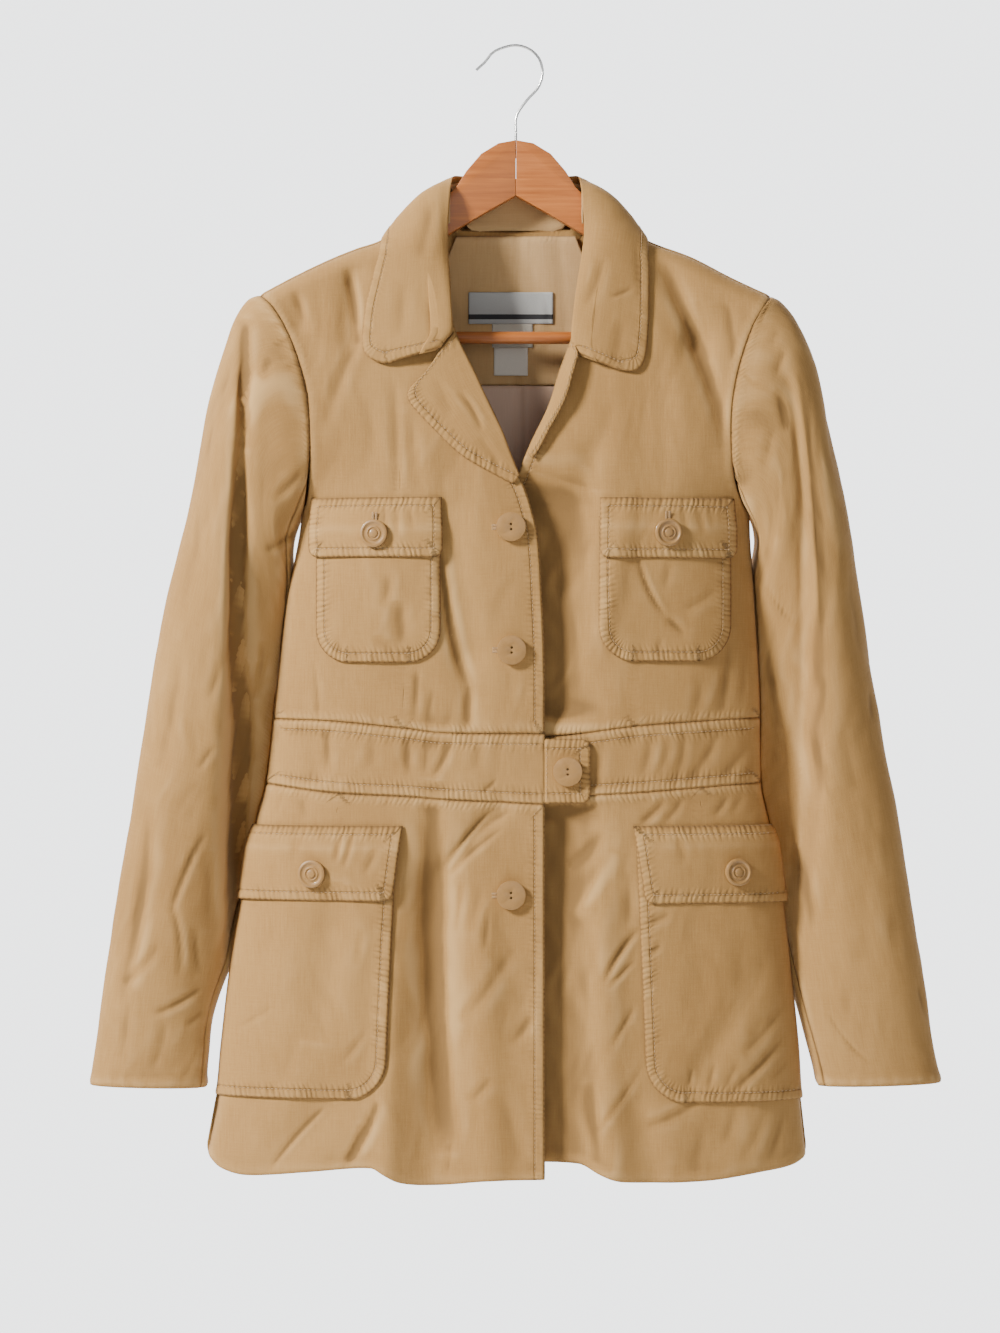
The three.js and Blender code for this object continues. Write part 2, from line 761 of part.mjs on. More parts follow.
for (const [name, front] of Object.entries(FRONTS)) {
  const sideX = (z) => sideAt(front.sideKey, z);
  const shoulderX = walk(front.armhole, SEAM_SHARE).x;
  const neckX = front.edge[0].x;
  const bandTop = waistZ(front, "top", sideX(BAND_TOP_Z)) + SEAM / 2;
  const rows = bodiceRows(front, FRONT_ARMHOLE, bandTop);
  const shoulderSeam = (share) => {
    const x = mix(shoulderX, neckX, share);
    const line = along(RIDGE, "x", "z", x) + ROLL_EXTRA - SHOULDER_SEAM_FORWARD - SEAM / 2;
    return { x, z: mix(rows[0].z, line, smooth(0, SHOULDER_POINT_SHARE, share)) };
  };
  const waistTop = (share) => {
    const x = mix(rows.at(-1).x, front.edgeX, share);
    return { x, z: waistZ(front, "top", x) + SEAM / 2 };
  };
  const edge = (row) => {
    const place = walk(front.edge, row.share);
    return { x: place.x, z: flatHeight(place.x, place.z) };
  };
  const bodice = patch(frontShares, rows, shoulderSeam, waistTop, (row) => row, edge);
  add(`front_bodice_${name}`, wall(partedAtSide(laid(bodice, name), name), CLOTH), cotton);

  const bandRows = [0, 0.5, 1].map((share) => ({ share }));
  const band = bandRows.map((row) => frontShares.map((share) => {
    const sideEdge = mix(sideX(bandTop), sideX(BAND_FOOT_Z), row.share);
    const x = mix(sideEdge, front.edgeX, share);
    const top = waistZ(front, "top", x) - SEAM / 2;
    const bottom = waistZ(front, "bottom", x) + SEAM / 2;
    return { x, z: mix(top, bottom, row.share) };
  }));
  add(`front_waistband_${name}`, wall(partedAtSide(laid(band, name), name), CLOTH), cotton);

  const hemZ = (x) => along(front.hem, "x", "z", x);
  const skirt = [];
  for (let row = 0; row <= SKIRT_ROWS; row += 1) {
    const down = row / SKIRT_ROWS;
    const level = mix(BAND_FOOT_Z, front.hemSideZ, down);
    skirt.push(frontShares.map((share) => {
      const x = mix(sideX(level), front.edgeX, share);
      const top = waistZ(front, "bottom", mix(sideX(BAND_FOOT_Z), front.edgeX, share)) - SEAM / 2;
      return { x, z: mix(top, hemZ(x), down) };
    }));
  }
  add(`front_skirt_${name}`, wall(partedAtSide(laid(skirt, name), name), CLOTH), cotton);
}

// The back: one bodice, one waistband and one skirt, from side seam to side seam
{
  const rowsLeft = bodiceRows(FRONTS.left, BACK_ARMHOLE, BAND_TOP_Z + SEAM / 2);
  const rowsRight = bodiceRows(FRONTS.right, BACK_ARMHOLE, BAND_TOP_Z + SEAM / 2);
  const lead = (rows, front) => {
    const x = walk(front.armhole, SEAM_SHARE).x;
    const z = along(RIDGE, "x", "z", x) + ROLL_EXTRA + SHOULDER_SEAM_FORWARD - SHOULDER_GAP;
    return [{ x, z }, ...rows];
  };
  const left = lead(rowsLeft, FRONTS.left);
  const right = lead(rowsRight, FRONTS.right);
  const rows = left.map((row, at) => ({ at, share: (row.z - left[0].z) / (left.at(-1).z - left[0].z) }));
  const neck = (share) => {
    const x = mix(left[0].x, right[0].x, share);
    return { x, z: along(RIDGE, "x", "z", x) + ROLL_EXTRA + along(NECKLINE, "x", "over", Math.abs(x)) };
  };
  const foot = (share) => ({ x: mix(left.at(-1).x, right.at(-1).x, share), z: BAND_TOP_Z + SEAM / 2 });
  const bodice = patch(backShares, rows, neck, foot, (row) => left[row.at], (row) => right[row.at]);
  add("back_bodice", wall(partedAtSide(laid(bodice, "back"), "back"), CLOTH), cotton);

  const across = (z, share) => mix(sideAt("left", z), sideAt("right", z), share);
  const levels = (from, to, count) => {
    const grid = [];
    for (let row = 0; row <= count; row += 1) {
      const z = mix(from, to, row / count);
      grid.push(backShares.map((share) => ({ x: across(z, share), z })));
    }
    return grid;
  };
  const band = levels(BAND_TOP_Z - SEAM / 2, BAND_FOOT_Z + SEAM / 2, 2);
  add("back_waistband", wall(partedAtSide(laid(band, "back"), "back"), CLOTH), cotton);
  const skirt = levels(BAND_FOOT_Z - SEAM / 2, HEM_BACK_Z, SKIRT_ROWS);
  add("back_skirt", wall(partedAtSide(laid(skirt, "back"), "back"), CLOTH), cotton);
}

// Sleeves. A place on a sleeve is its ring and its share of the front or back half.
function sleevePlace(rows, front, ring, half, share) {
  const section = (column) => {
    const numbered = rows.map((row, at) => ({ at, value: row[column] }));
    return along(numbered, "at", "value", ring);
  };
  const across = (1 - Math.cos(Math.PI * share)) / 2;
  const round = Math.sin(Math.PI * share) ** SLEEVE_SQUARE;
  const settled = 1 - Math.max(1 - ring / ARMHOLE_RINGS, 0) ** 2;
  const point = new THREE.Vector3(
    mix(section("outX"), section("inX"), across),
    0,
    mix(section("outZ"), section("inZ"), across),
  );
  if (half === "front") {
    const past = smooth(0, FOLD_TURN, across - section("foldAt")) * settled;
    const valleyAt = section("foldAt") + VALLEY_IN;
    const crease = section("valley") * Math.exp(-(((across - valleyAt) / VALLEY_HALF) ** 2));
    point.y = -(section("front") - section("behind") * past - crease * settled) * round;
  } else {
    point.y = section("back") * round;
  }
  if (ring < ARMHOLE_RINGS) {
    const seat = armholeSeat(front, half, share);
    const start = new THREE.Vector3(
      mix(rows[0].outX, rows[0].inX, across),
      (half === "front" ? -rows[0].front : rows[0].back) * round,
      mix(rows[0].outZ, rows[0].inZ, across),
    );
    point.addScaledVector(seat.point.clone().sub(start), 1 - settled);
  }
  return point;
}

// Where the sleeve's first ring lies: on the armhole, just clear of the body
function armholeSeat(front, half, share) {
  const side = half === "back" ? "back" : front.sideKey;
  const away = front.sideKey === "left" ? -1 : 1;
  const here = walk(front.armhole, share);
  const seat = onBody(here.x, here.z, side);
  const before = walk(front.armhole, Math.max(share - TURN_STEP, 0));
  const after = walk(front.armhole, Math.min(share + TURN_STEP, 1));
  const line = onBody(after.x, after.z, side).point.sub(onBody(before.x, before.z, side).point);
  const off = line.cross(seat.normal).normalize();
  if (off.x * away < 0) {
    off.negate();
  }
  const low = smooth(0.55, 0.95, share);
  seat.point.addScaledVector(off, mix(SEAT_OFF[0], SEAT_OFF[1], low));
  seat.point.addScaledVector(seat.normal, SEAT_OUT * low);
  return seat;
}

function sleeveGrid(rows, front, turns) {
  const away = front.sideKey === "left" ? -1 : 1;
  const spot = (ring, turn) => {
    const wrapped = ((turn % 2) + 2) % 2;
    return wrapped <= 1
      ? sleevePlace(rows, front, ring, "front", wrapped)
      : sleevePlace(rows, front, ring, "back", 2 - wrapped);
  };
  return SLEEVE_RING_STEPS.map((ring) => turns.map((turn) => {
    const point = spot(ring, turn);
    const round = spot(ring, turn + TURN_STEP).sub(spot(ring, turn - TURN_STEP));
    const above = spot(Math.max(ring - RING_STEP, 0), turn);
    const down = spot(Math.min(ring + RING_STEP, rows.length - 1), turn).sub(above);
    const normal = round.cross(down).normalize().multiplyScalar(away);
    if (ring < 1) {
      const share = turn <= 1 && turn >= 0 ? turn : Math.abs(turn > 1 ? 2 - turn : turn);
      const half = turn >= 0 && turn <= 1 ? "front" : "back";
      const seat = armholeSeat(front, half, share);
      const hold = (1 - smooth(0.35, 0.6, share)) * (1 - ring);
      normal.lerp(seat.normal, hold).normalize();
    }
    return { point, normal };
  }));
}

// Turns run from 0 at the outer edge over the front to 1 at the inner edge, then on to 2
const backTurns = BACK_ARMHOLE.filter((share) => share > 0 && share < BACK_SLEEVE_SEAM);
const frontTurns = FRONT_ARMHOLE.concat(FOLD_TURNS).filter((share) => share < FRONT_SLEEVE_SEAM);
const topTurns = [BACK_SLEEVE_SEAM - SEAM_TURN, ...backTurns.reverse()].map((share) => -share);
topTurns.push(0, ...frontTurns.sort(), FRONT_SLEEVE_SEAM - SEAM_TURN);
const underTurns = [FRONT_SLEEVE_SEAM + SEAM_TURN, ...UNDER_TURNS, 2 - BACK_SLEEVE_SEAM - SEAM_TURN];
for (const [name, rows] of Object.entries({ left: SLEEVE_LEFT, right: SLEEVE_RIGHT })) {
  add(`top_sleeve_${name}`, wall(sleeveGrid(rows, FRONTS[name], topTurns), CLOTH), cotton);
  add(`under_sleeve_${name}`, wall(sleeveGrid(rows, FRONTS[name], underTurns), CLOTH), cotton);
}

// Collar: a fall that turns down from the roll, and a stand inside it down to the neck seam
const collarRibs = COLLAR_LEFT.concat(COLLAR_RIGHT.slice().reverse());

function collarPlace(rib, share) {
  const roll = new THREE.Vector3(rib.rollX, rib.rollY, rib.rollZ);
  const foot = overShoulder(rib.edgeX, rib.over, rib.edgeX < 0 ? "left" : "right", COLLAR_LIFT);
  const way = foot.point.clone().sub(roll);
  if (share < 0) {
    const under = foot.normal.clone().multiplyScalar(-COLLAR_CURL);
    return roll.add(under).addScaledVector(way.normalize(), COLLAR_CURL / 2);
  }
  const bow = rib.bow * Math.sin(Math.PI * share ** 0.7);
  return roll.addScaledVector(way, share).addScaledVector(foot.normal, bow);
}

function withNormals(points, turn) {
  const rows = points.length;
  const columns = points[0].length;
  return points.map((row, r) => row.map((point, c) => {
    const across = row[Math.min(c + 1, columns - 1)].clone().sub(row[Math.max(c - 1, 0)]);
    const down = points[Math.min(r + 1, rows - 1)][c].clone().sub(points[Math.max(r - 1, 0)][c]);
    return { point, normal: across.cross(down).normalize().multiplyScalar(turn) };
  }));
}

const fallPoints = collarRibs.map((rib) => COLLAR_SHARES.map((share) => collarPlace(rib, share)));
add("collar_fall", wall(withNormals(fallPoints, -1), CLOTH), cotton);

const standHalf = (sign) => STAND.map((row) => ({ ...row, topX: sign * row.topX, footX: sign * row.footX }));
const standRibs = standHalf(-1).concat(standHalf(1).reverse().slice(1));
const standPoints = standRibs.map((rib) => [0, 0.5, 1].map((share) => new THREE.Vector3(
  mix(rib.topX, rib.footX, share),
  mix(rib.topY, rib.footY, share),
  mix(rib.topZ, rib.footZ, share),
)));
add("collar_stand", wall(withNormals(standPoints, -1), CLOTH), cotton);

// Lapels, lying on the fronts
function lapel(rows, side, shares) {
  return rows.map((row) => shares.map((share) => {
    const x = mix(row.rollX, row.edgeX, share);
    const z = mix(row.rollZ, row.edgeZ, share);
    const start = CLOTH + SEAM;
    return onBody(x, z, side, mix(start, Math.max(row.lift, start), Math.sin(share * 1.9)));
  }));
}
add("lapel_left", wall(lapel(LAPEL_LEFT, "left", [0, 0.25, 0.5, 0.75, 1]), CLOTH), cotton);
add("lapel_right", wall(lapel(LAPEL_RIGHT, "right", [0, 0.5, 1]), CLOTH), cotton);

// Inside of the neck: the back facing, the lining below it and three bare labels
function inside(left, right, top, bottom, columns, rows, lift) {
  const grid = [];
  for (let row = 0; row <= rows; row += 1) {
    const down = row / rows;
    const z = mix(top, bottom, down);
    const line = [];
    for (let column = 0; column <= columns; column += 1) {
      const share = column / columns;
      line.push(onBody(mix(left(down), right(down), share), z, "back", -lift));
    }
    grid.push(line);
  }
  return grid;
}
const facingHalf = (down) => mix(FACING.topHalf, FACING.footHalf, down);
const facingLeft = (down) => -facingHalf(down);
const facing = inside(facingLeft, facingHalf, FACING.top, FACING.foot + SEAM, 12, 6, FACING_LIFT);
add("back_neck_facing", wall(facing, PATCH), cotton);
const lining = inside(() => -LINING_HALF, () => LINING_HALF, FACING.foot, BAND_TOP_Z, 14, 8, FACING_LIFT);
add("back_lining", wall(lining, PATCH), liningCloth);
for (const row of LABELS) {
  const grid = inside(() => row.left, () => row.right, row.top, row.bottom, 4, 2, LABEL_LIFT);
  add(row.name, wall(grid, LABEL), labelCloth);
}

// Rows of a patch with rounded lower corners: each has its height and how far it draws in
function roundedRows(top, bottom, corner, straight, turns) {
  const rows = [];
  for (let step = 0; step <= straight; step += 1) {
    rows.push({ z: mix(top, bottom + corner, step / straight), drawn: 0 });
  }
  for (let step = 1; step <= turns; step += 1) {
    const angle = (step / turns) * (Math.PI / 2) * 0.96;
    rows.push({ z: bottom + corner * (1 - Math.sin(angle)), drawn: corner * (1 - Math.cos(angle)) });
  }
  return rows;
}

const evenShares = (count) => Array.from({ length: count + 1 }, (_, at) => at / count);

// Cloth lying on a front between two upright edges, lifted off it and a little full
function patchOn(side, rows, shares, lift, bulge) {
  return rows.map((row, at) => shares.map((share) => {
    const x = mix(row.left, row.right, share);
    const middle = Math.sin(Math.PI * share) * Math.sin((Math.PI * at) / (rows.length - 1));
    return onBody(x, row.z, side, (row.lift ?? lift) + bulge * middle);
  }));
}

for (const row of CHEST_POCKETS) {
  const body = roundedRows(row.top, row.bottom, row.corner, 3, 3).map((level) => ({
    z: level.z, left: row.left + level.drawn, right: row.right - level.drawn,
  }));
  const pocket = patchOn(row.name, body, evenShares(6), POCKET_LIFT, POCKET_BULGE);
  add(`chest_pocket_${row.name}`, wall(pocket, PATCH), cotton);
  const flapLevels = roundedRows(row.flapTop, row.flapTop - CHEST_FLAP_HEIGHT, FLAP_CORNER, 2, 2);
  const flapRows = flapLevels.map((level, at) => ({
    z: level.z,
    left: row.flapLeft + level.drawn,
    right: row.flapRight - level.drawn,
    lift: at === 0 ? POCKET_LIFT : FLAP_OVER_POCKET,
  }));
  flapRows.splice(1, 0, { ...flapRows[0], z: row.top + 1, lift: FLAP_LIFT });
  const flap = patchOn(row.name, flapRows, evenShares(6), FLAP_LIFT, FLAP_BULGE);
  add(`chest_flap_${row.name}`, wall(flap, PATCH), cotton);
}

// Hip pockets run round to the side seam, so their outer edge follows it
const sideShares = [0, 0.02, 0.065, 0.14, 0.24, 0.36, 0.49, 0.62, 0.75, 0.88, 1];
function hipShares(key, z, inner) {
  return { left: sideAt(key, z) * HIP_EDGE_SHARE, right: inner };
}
for (const row of HIP_POCKETS) {
  const levels = roundedRows(row.top, row.bottom, row.corner, 5, 3);
  const sign = row.name === "left" ? -1 : 1;
  const body = levels.map((level) => {
    const inner = mix(row.inner, row.innerFoot, (level.z - row.top) / (row.bottom - row.top));
    return { z: level.z, ...hipShares(row.name, level.z, inner + sign * level.drawn) };
  });
  const pocket = patchOn(row.name, body, sideShares, POCKET_LIFT, POCKET_BULGE);
  add(`hip_pocket_${row.name}`, wall(pocket, PATCH), cotton);
  const flapLevels = roundedRows(row.flapTop, row.flapBottom, FLAP_CORNER, 3, 2);
  const flapRows = flapLevels.map((level, at) => {
    const inner = mix(row.flapInner, row.flapFoot, (level.z - row.flapTop) / (row.flapBottom - row.flapTop));
    return {
      z: level.z,
      ...hipShares(row.name, level.z, inner + sign * level.drawn),
      lift: at === 0 ? POCKET_LIFT : FLAP_OVER_POCKET,
    };
  });
  flapRows.splice(1, 0, { ...flapRows[0], z: row.top + 1, lift: FLAP_LIFT });
  const flap = patchOn(row.name, flapRows, sideShares, FLAP_LIFT, FLAP_BULGE * 0.6);
  add(`hip_flap_${row.name}`, wall(flap, PATCH), cotton);
}

// Waist tab: the left waistband's end, lapping over the right waistband
function tabLift(x) {
  return mix(TAB.liftFrom, TAB.liftTo, smooth(TAB.from, TAB.to, x));
}
{
  const columns = [0, 8, 16, 24, 30, 34, 36];
  const grid = columns.map((place) => {
    const x = TAB.from + place;
    const past = Math.max(x - (TAB.to - TAB.round), 0);
    const drawn = TAB.round - Math.sqrt(Math.max(TAB.round ** 2 - past ** 2, 0));
    return [0, 0.33, 0.67, 1].map((share) => {
      const z = mix(TAB.top - drawn, TAB.bottom + drawn, share);
      return onBody(x, z, "right", tabLift(x));
    });
  });
  add("waist_tab", wall(grid, CLOTH), cotton);
}

// Buttons, each turned to face away from the cloth that it is sewn on
function buttonGeometry() {
  const r = BUTTON_RADIUS;
  const t = BUTTON_THICK;
  const rim = [[r - 2, 0.4], [r, 1.4], [r - 0.8, t], [r - 2.8, t]];
  const dish = [[r - 3.8, t - 0.7], [0, t - 0.7]];
  const profile = [[0, 0], ...rim, ...dish];
  return new THREE.LatheGeometry(profile.map(([x, y]) => new THREE.Vector2(x, y)), BUTTON_SIDES);
}
const BUTTON_SEATS = {
  front: BUTTON_GAP,
  tab: tabLift(TAB_BUTTON_X) + BUTTON_GAP,
  flap: FLAP_OVER_POCKET + FLAP_BULGE + BUTTON_GAP / 2,
};
for (const row of BUTTONS) {
  const side = row.x < 30 ? "left" : "right";
  const seat = onBody(row.x, row.z, side, BUTTON_SEATS[row.piece]);
  const mesh = add(row.name, buttonGeometry(), buttonShell);
  mesh.position.copy(seat.point);
  mesh.quaternion.setFromUnitVectors(new THREE.Vector3(0, 1, 0), seat.normal);
}

// Hanger. An arm is cut from a board: its outline is drawn in x and z, and its thickness is y.
function armGeometry(sign) {
  const topLine = ARM_UNDER_SHOULDER.map((x) => ({
    x, z: along(RIDGE, "x", "z", sign * x) - ARM_UNDER_CLOTH,
  }));
  const outline = ARM_NECK.concat(topLine, ARM_TIP_AND_FOOT);
  const shape = new THREE.Shape(outline.map((row) => new THREE.Vector2(row.x, row.z)));
  const geometry = new THREE.ExtrudeGeometry(shape, { depth: ARM_THICK, bevelEnabled: false, steps: 1 });
  geometry.rotateX(Math.PI / 2);
  geometry.translate(0, ARM_THICK / 2, 0);
  geometry.scale(sign, 1, 1);
  const merged = positionsOnly(geometry);
  merged.setIndex(turnedOut(merged.attributes.position.array, Array.from(merged.index.array)));
  return merged;
}

function positionsOnly(geometry) {
  const copy = geometry.clone();
  copy.deleteAttribute("normal");
  copy.deleteAttribute("uv");
  return mergeVertices(copy, 1e-4);
}

function solid(geometry) {
  const merged = positionsOnly(geometry);
  return new wasm.Manifold(new wasm.Mesh({
    numProp: 3,
    vertProperties: merged.attributes.position.array,
    triVerts: new Uint32Array(merged.index.array),
  }));
}

function fromSolid(manifold) {
  const mesh = manifold.getMesh();
  const geometry = new THREE.BufferGeometry();
  geometry.setAttribute("position", new THREE.BufferAttribute(mesh.vertProperties, 3));
  geometry.setIndex(new THREE.BufferAttribute(mesh.triVerts, 1));
  return geometry;
}

function rod(radius, length, sides) {
  return new THREE.CylinderGeometry(radius, radius, length, sides);
}

const socketLength = BAR_END + FIT - BAR_SOCKET_FROM;
for (const [name, sign] of [["left", -1], ["right", 1]]) {
  const socket = rod(BAR_RADIUS + FIT, socketLength, 16);
  socket.rotateZ(Math.PI / 2);
  socket.translate(sign * (BAR_SOCKET_FROM + socketLength / 2), 0, BAR_Z);
  const wireHole = rod(WIRE_RADIUS + FIT, WIRE_HOLE_LENGTH, 12);
  wireHole.rotateX(Math.PI / 2);
  wireHole.translate(0, 0, WIRE_FOOT_Z - FIT + WIRE_HOLE_LENGTH / 2);
  const arm = solid(armGeometry(sign)).subtract(solid(socket)).subtract(solid(wireHole));
  add(`hanger_arm_${name}`, fromSolid(arm), wood);
}

const bar = rod(BAR_RADIUS, 2 * BAR_END, 16);
bar.rotateZ(Math.PI / 2);
bar.translate(0, 0, BAR_Z);
add("hanger_bar", bar, wood);

const hookPath = new THREE.CatmullRomCurve3(HOOK.map((row) => new THREE.Vector3(row.x, 0, row.z)));
const wireSection = new THREE.Shape();
wireSection.absarc(0, 0, WIRE_RADIUS, 0, 2 * Math.PI, false);
const hook = new THREE.ExtrudeGeometry(wireSection, {
  steps: 34, extrudePath: hookPath, bevelEnabled: false, curveSegments: 4,
});
add("hanger_hook", hook, steel);

export default jacket;
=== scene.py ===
# %% [markdown]
# # A utility jacket on its wooden hanger
# The solids of the jacket are plain walls of cloth. In this lesson each cut piece gets the look of
# washed cotton: creases, puckered seams, rows of stitches, buttons and a weave. Every piece stays
# on the form of its solid, so we start by loading the solids.

# %% Load the solids
import json
import math
import bpy
import numpy as np
from mathutils import Matrix, Vector

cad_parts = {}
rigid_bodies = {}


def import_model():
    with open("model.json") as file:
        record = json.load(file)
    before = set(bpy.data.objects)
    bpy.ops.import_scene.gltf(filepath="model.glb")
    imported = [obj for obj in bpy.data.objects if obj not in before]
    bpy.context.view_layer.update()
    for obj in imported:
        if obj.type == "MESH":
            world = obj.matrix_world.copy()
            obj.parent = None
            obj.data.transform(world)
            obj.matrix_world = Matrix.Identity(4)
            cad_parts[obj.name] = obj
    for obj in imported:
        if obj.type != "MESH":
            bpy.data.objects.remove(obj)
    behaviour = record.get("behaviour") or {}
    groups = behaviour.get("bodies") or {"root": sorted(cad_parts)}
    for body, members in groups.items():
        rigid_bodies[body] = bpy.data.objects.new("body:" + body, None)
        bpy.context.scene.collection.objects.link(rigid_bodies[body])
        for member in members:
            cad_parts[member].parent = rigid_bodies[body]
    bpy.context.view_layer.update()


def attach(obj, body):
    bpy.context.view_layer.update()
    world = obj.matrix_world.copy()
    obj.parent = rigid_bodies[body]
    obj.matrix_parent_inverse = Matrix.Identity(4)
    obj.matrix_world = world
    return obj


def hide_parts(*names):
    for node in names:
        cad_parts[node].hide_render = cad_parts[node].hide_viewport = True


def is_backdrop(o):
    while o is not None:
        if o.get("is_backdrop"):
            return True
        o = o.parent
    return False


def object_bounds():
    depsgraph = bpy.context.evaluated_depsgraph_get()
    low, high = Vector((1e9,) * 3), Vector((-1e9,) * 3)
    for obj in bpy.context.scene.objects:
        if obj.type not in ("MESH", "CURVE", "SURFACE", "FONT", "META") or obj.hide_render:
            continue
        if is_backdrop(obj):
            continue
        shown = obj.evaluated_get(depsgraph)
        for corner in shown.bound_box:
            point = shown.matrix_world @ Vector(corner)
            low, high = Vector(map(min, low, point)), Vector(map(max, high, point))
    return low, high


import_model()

# %% [markdown]
# ## The camera and the light
# A garment photographed for a catalogue hangs at eye height and is lit by one big soft window from
# the upper left, with pale walls that fill the shadows. A long lens keeps the sleeves parallel.
# We place the camera first, because every later step is judged through it.

# %% Camera
MM = 0.001
PIXEL = 0.8 * MM
IMAGE_WIDTH = 1000
IMAGE_HEIGHT = 1333
HOOK_COLUMN = 516
HOOK_ROW = 42.5
CAMERA_AWAY = 3.0

view_x = (IMAGE_WIDTH / 2 - HOOK_COLUMN) * PIXEL
view_z = (HOOK_ROW - IMAGE_HEIGHT / 2) * PIXEL
camera_data = bpy.data.cameras.new("camera")
camera_data.sensor_fit = "VERTICAL"
camera_data.sensor_height = 24
camera_data.lens = 24 * (CAMERA_AWAY - 0.02) / (IMAGE_HEIGHT * PIXEL)
camera = bpy.data.objects.new("camera", camera_data)
bpy.context.scene.collection.objects.link(camera)
camera.location = (view_x, -CAMERA_AWAY, view_z)
camera.rotation_euler = (math.pi / 2, 0, 0)
bpy.context.scene.camera = camera
print("camera lens", round(camera_data.lens, 1), "mm at", tuple(round(v, 3) for v in camera.location))

# %% Light, floor and pale surroundings
def soft_light(name, place, aim, power, size, colour):
    data = bpy.data.lights.new(name, "AREA")
    data.energy = power
    data.size = size
    data.color = colour
    lamp = bpy.data.objects.new(name, data)
    lamp.location = place
    lamp.rotation_euler = (Vector(aim) - Vector(place)).to_track_quat("-Z", "Y").to_euler()
    bpy.context.scene.collection.objects.link(lamp)
    return lamp

soft_light("window", (-2.4, -1.5, 1.1), (0, 0, -0.45), 255, 0.6, (1.0, 0.98, 0.94))
soft_light("bounce", (0.7, -2.3, 0.1), (0, 0, -0.3), 11, 1.4, (0.97, 0.98, 1.0))
soft_light("back_fill", (0.4, 2.4, 0.6), (0, 0, -0.45), 30, 1.8, (1.0, 1.0, 1.0))

world = bpy.data.worlds.new("pale_room")
bpy.context.scene.world = world
world.use_nodes = True
background = world.node_tree.nodes["Background"]
background.inputs["Color"].default_value = (0.95, 0.965, 0.98, 1)
world_nodes = world.node_tree.nodes
direction = world_nodes.new("ShaderNodeTexCoord")
split = world_nodes.new("ShaderNodeSeparateXYZ")
paler_behind = world_nodes.new("ShaderNodeMapRange")
for socket, value in zip(list(paler_behind.inputs)[1:5], (0.15, 0.7, 0.26, 3.2)):
    socket.default_value = value
world.node_tree.links.new(direction.outputs["Generated"], split.inputs[0])
world.node_tree.links.new(split.outputs["Y"], paler_behind.inputs[0])
world.node_tree.links.new(paler_behind.outputs[0], background.inputs["Strength"])

# %% [markdown]
# ## Writing materials as sums
# Node trees are easier to read when their maths is written as maths. `Value` wraps one socket and
# turns `a + b` or `1 - a` into Math nodes. `Recipe` holds one material and adds any other node by
# its type, its settings and its inputs.

# %% A small language for materials
class Value:
    def __init__(self, recipe, socket):
        self.recipe = recipe
        self.socket = socket

    def maths(self, operation, first, second):
        return self.recipe.node("ShaderNodeMath", {"operation": operation}, {0: first, 1: second})

    def __add__(self, other):
        return self.maths("ADD", self, other)

    def __sub__(self, other):
        return self.maths("SUBTRACT", self, other)

    def __rsub__(self, other):
        return self.maths("SUBTRACT", other, self)

    def __mul__(self, other):
        return self.maths("MULTIPLY", self, other)

    def __pow__(self, other):
        return self.maths("POWER", self, other)

    def __truediv__(self, other):
        return self.maths("DIVIDE", self, other)

    def __abs__(self):
        return self.maths("ABSOLUTE", self, 0.0)

    __radd__ = __add__
    __rmul__ = __mul__


class Recipe:
    def __init__(self, name, colour, roughness):
        self.material = bpy.data.materials.new(name)
        self.material.use_nodes = True
        self.material.diffuse_color = (*colour, 1)
        self.tree = self.material.node_tree
        self.shader = self.tree.nodes["Principled BSDF"]
        self.shader.inputs["Base Color"].default_value = (*colour, 1)
        self.shader.inputs["Roughness"].default_value = roughness

    def node(self, kind, settings=None, inputs=None, output=0):
        made = self.tree.nodes.new(kind)
        for key, value in (settings or {}).items():
            setattr(made, key, value)
        for key, value in (inputs or {}).items():
            self.feed(made.inputs[key], value)
        return Value(self, made.outputs[output])

    def feed(self, socket, value):
        if isinstance(value, Value):
            self.tree.links.new(value.socket, socket)
        else:
            socket.default_value = value

    def fade(self, value, start, end, first=0.0, last=1.0):
        settings = {"clamp": True, "interpolation_type": "SMOOTHSTEP"}
        return self.node("ShaderNodeMapRange", settings, {0: value, 1: start, 2: end, 3: first, 4: last})

    def blend(self, share, first, second, kind="MIX"):
        settings = {"data_type": "RGBA", "blend_type": kind}
        mixer = self.node("ShaderNodeMix", settings, {0: share}, output=2)
        for socket, value in zip(mixer.socket.node.inputs[6:8], (first, second)):
            self.feed(socket, value if isinstance(value, Value) else (*value, 1))
        return mixer

    def noise(self, where, scale, detail=3.0, roughness=0.5):
        settings = {"noise_dimensions": "3D"}
        inputs = {"Vector": where, "Scale": scale, "Detail": detail, "Roughness": roughness}
        return self.node("ShaderNodeTexNoise", settings, inputs)

    def placed(self, where, turn=(0, 0, 0), scale=(1, 1, 1)):
        return self.node("ShaderNodeMapping", {}, {"Vector": where, "Rotation": turn, "Scale": scale})

    def attribute(self, name, output=2):
        return self.node("ShaderNodeAttribute", {"attribute_name": name}, output=output)

    def finish(self, colour=None, roughness=None, height=None, depth=0.1, distance=0.001):
        if colour is not None:
            self.feed(self.shader.inputs["Base Color"], colour)
        if roughness is not None:
            self.feed(self.shader.inputs["Roughness"], roughness)
        if height is not None:
            inputs = {"Strength": depth, "Distance": distance, "Height": height}
            self.feed(self.shader.inputs["Normal"], self.node("ShaderNodeBump", {}, inputs))
        return self.material

print("material helpers ready")
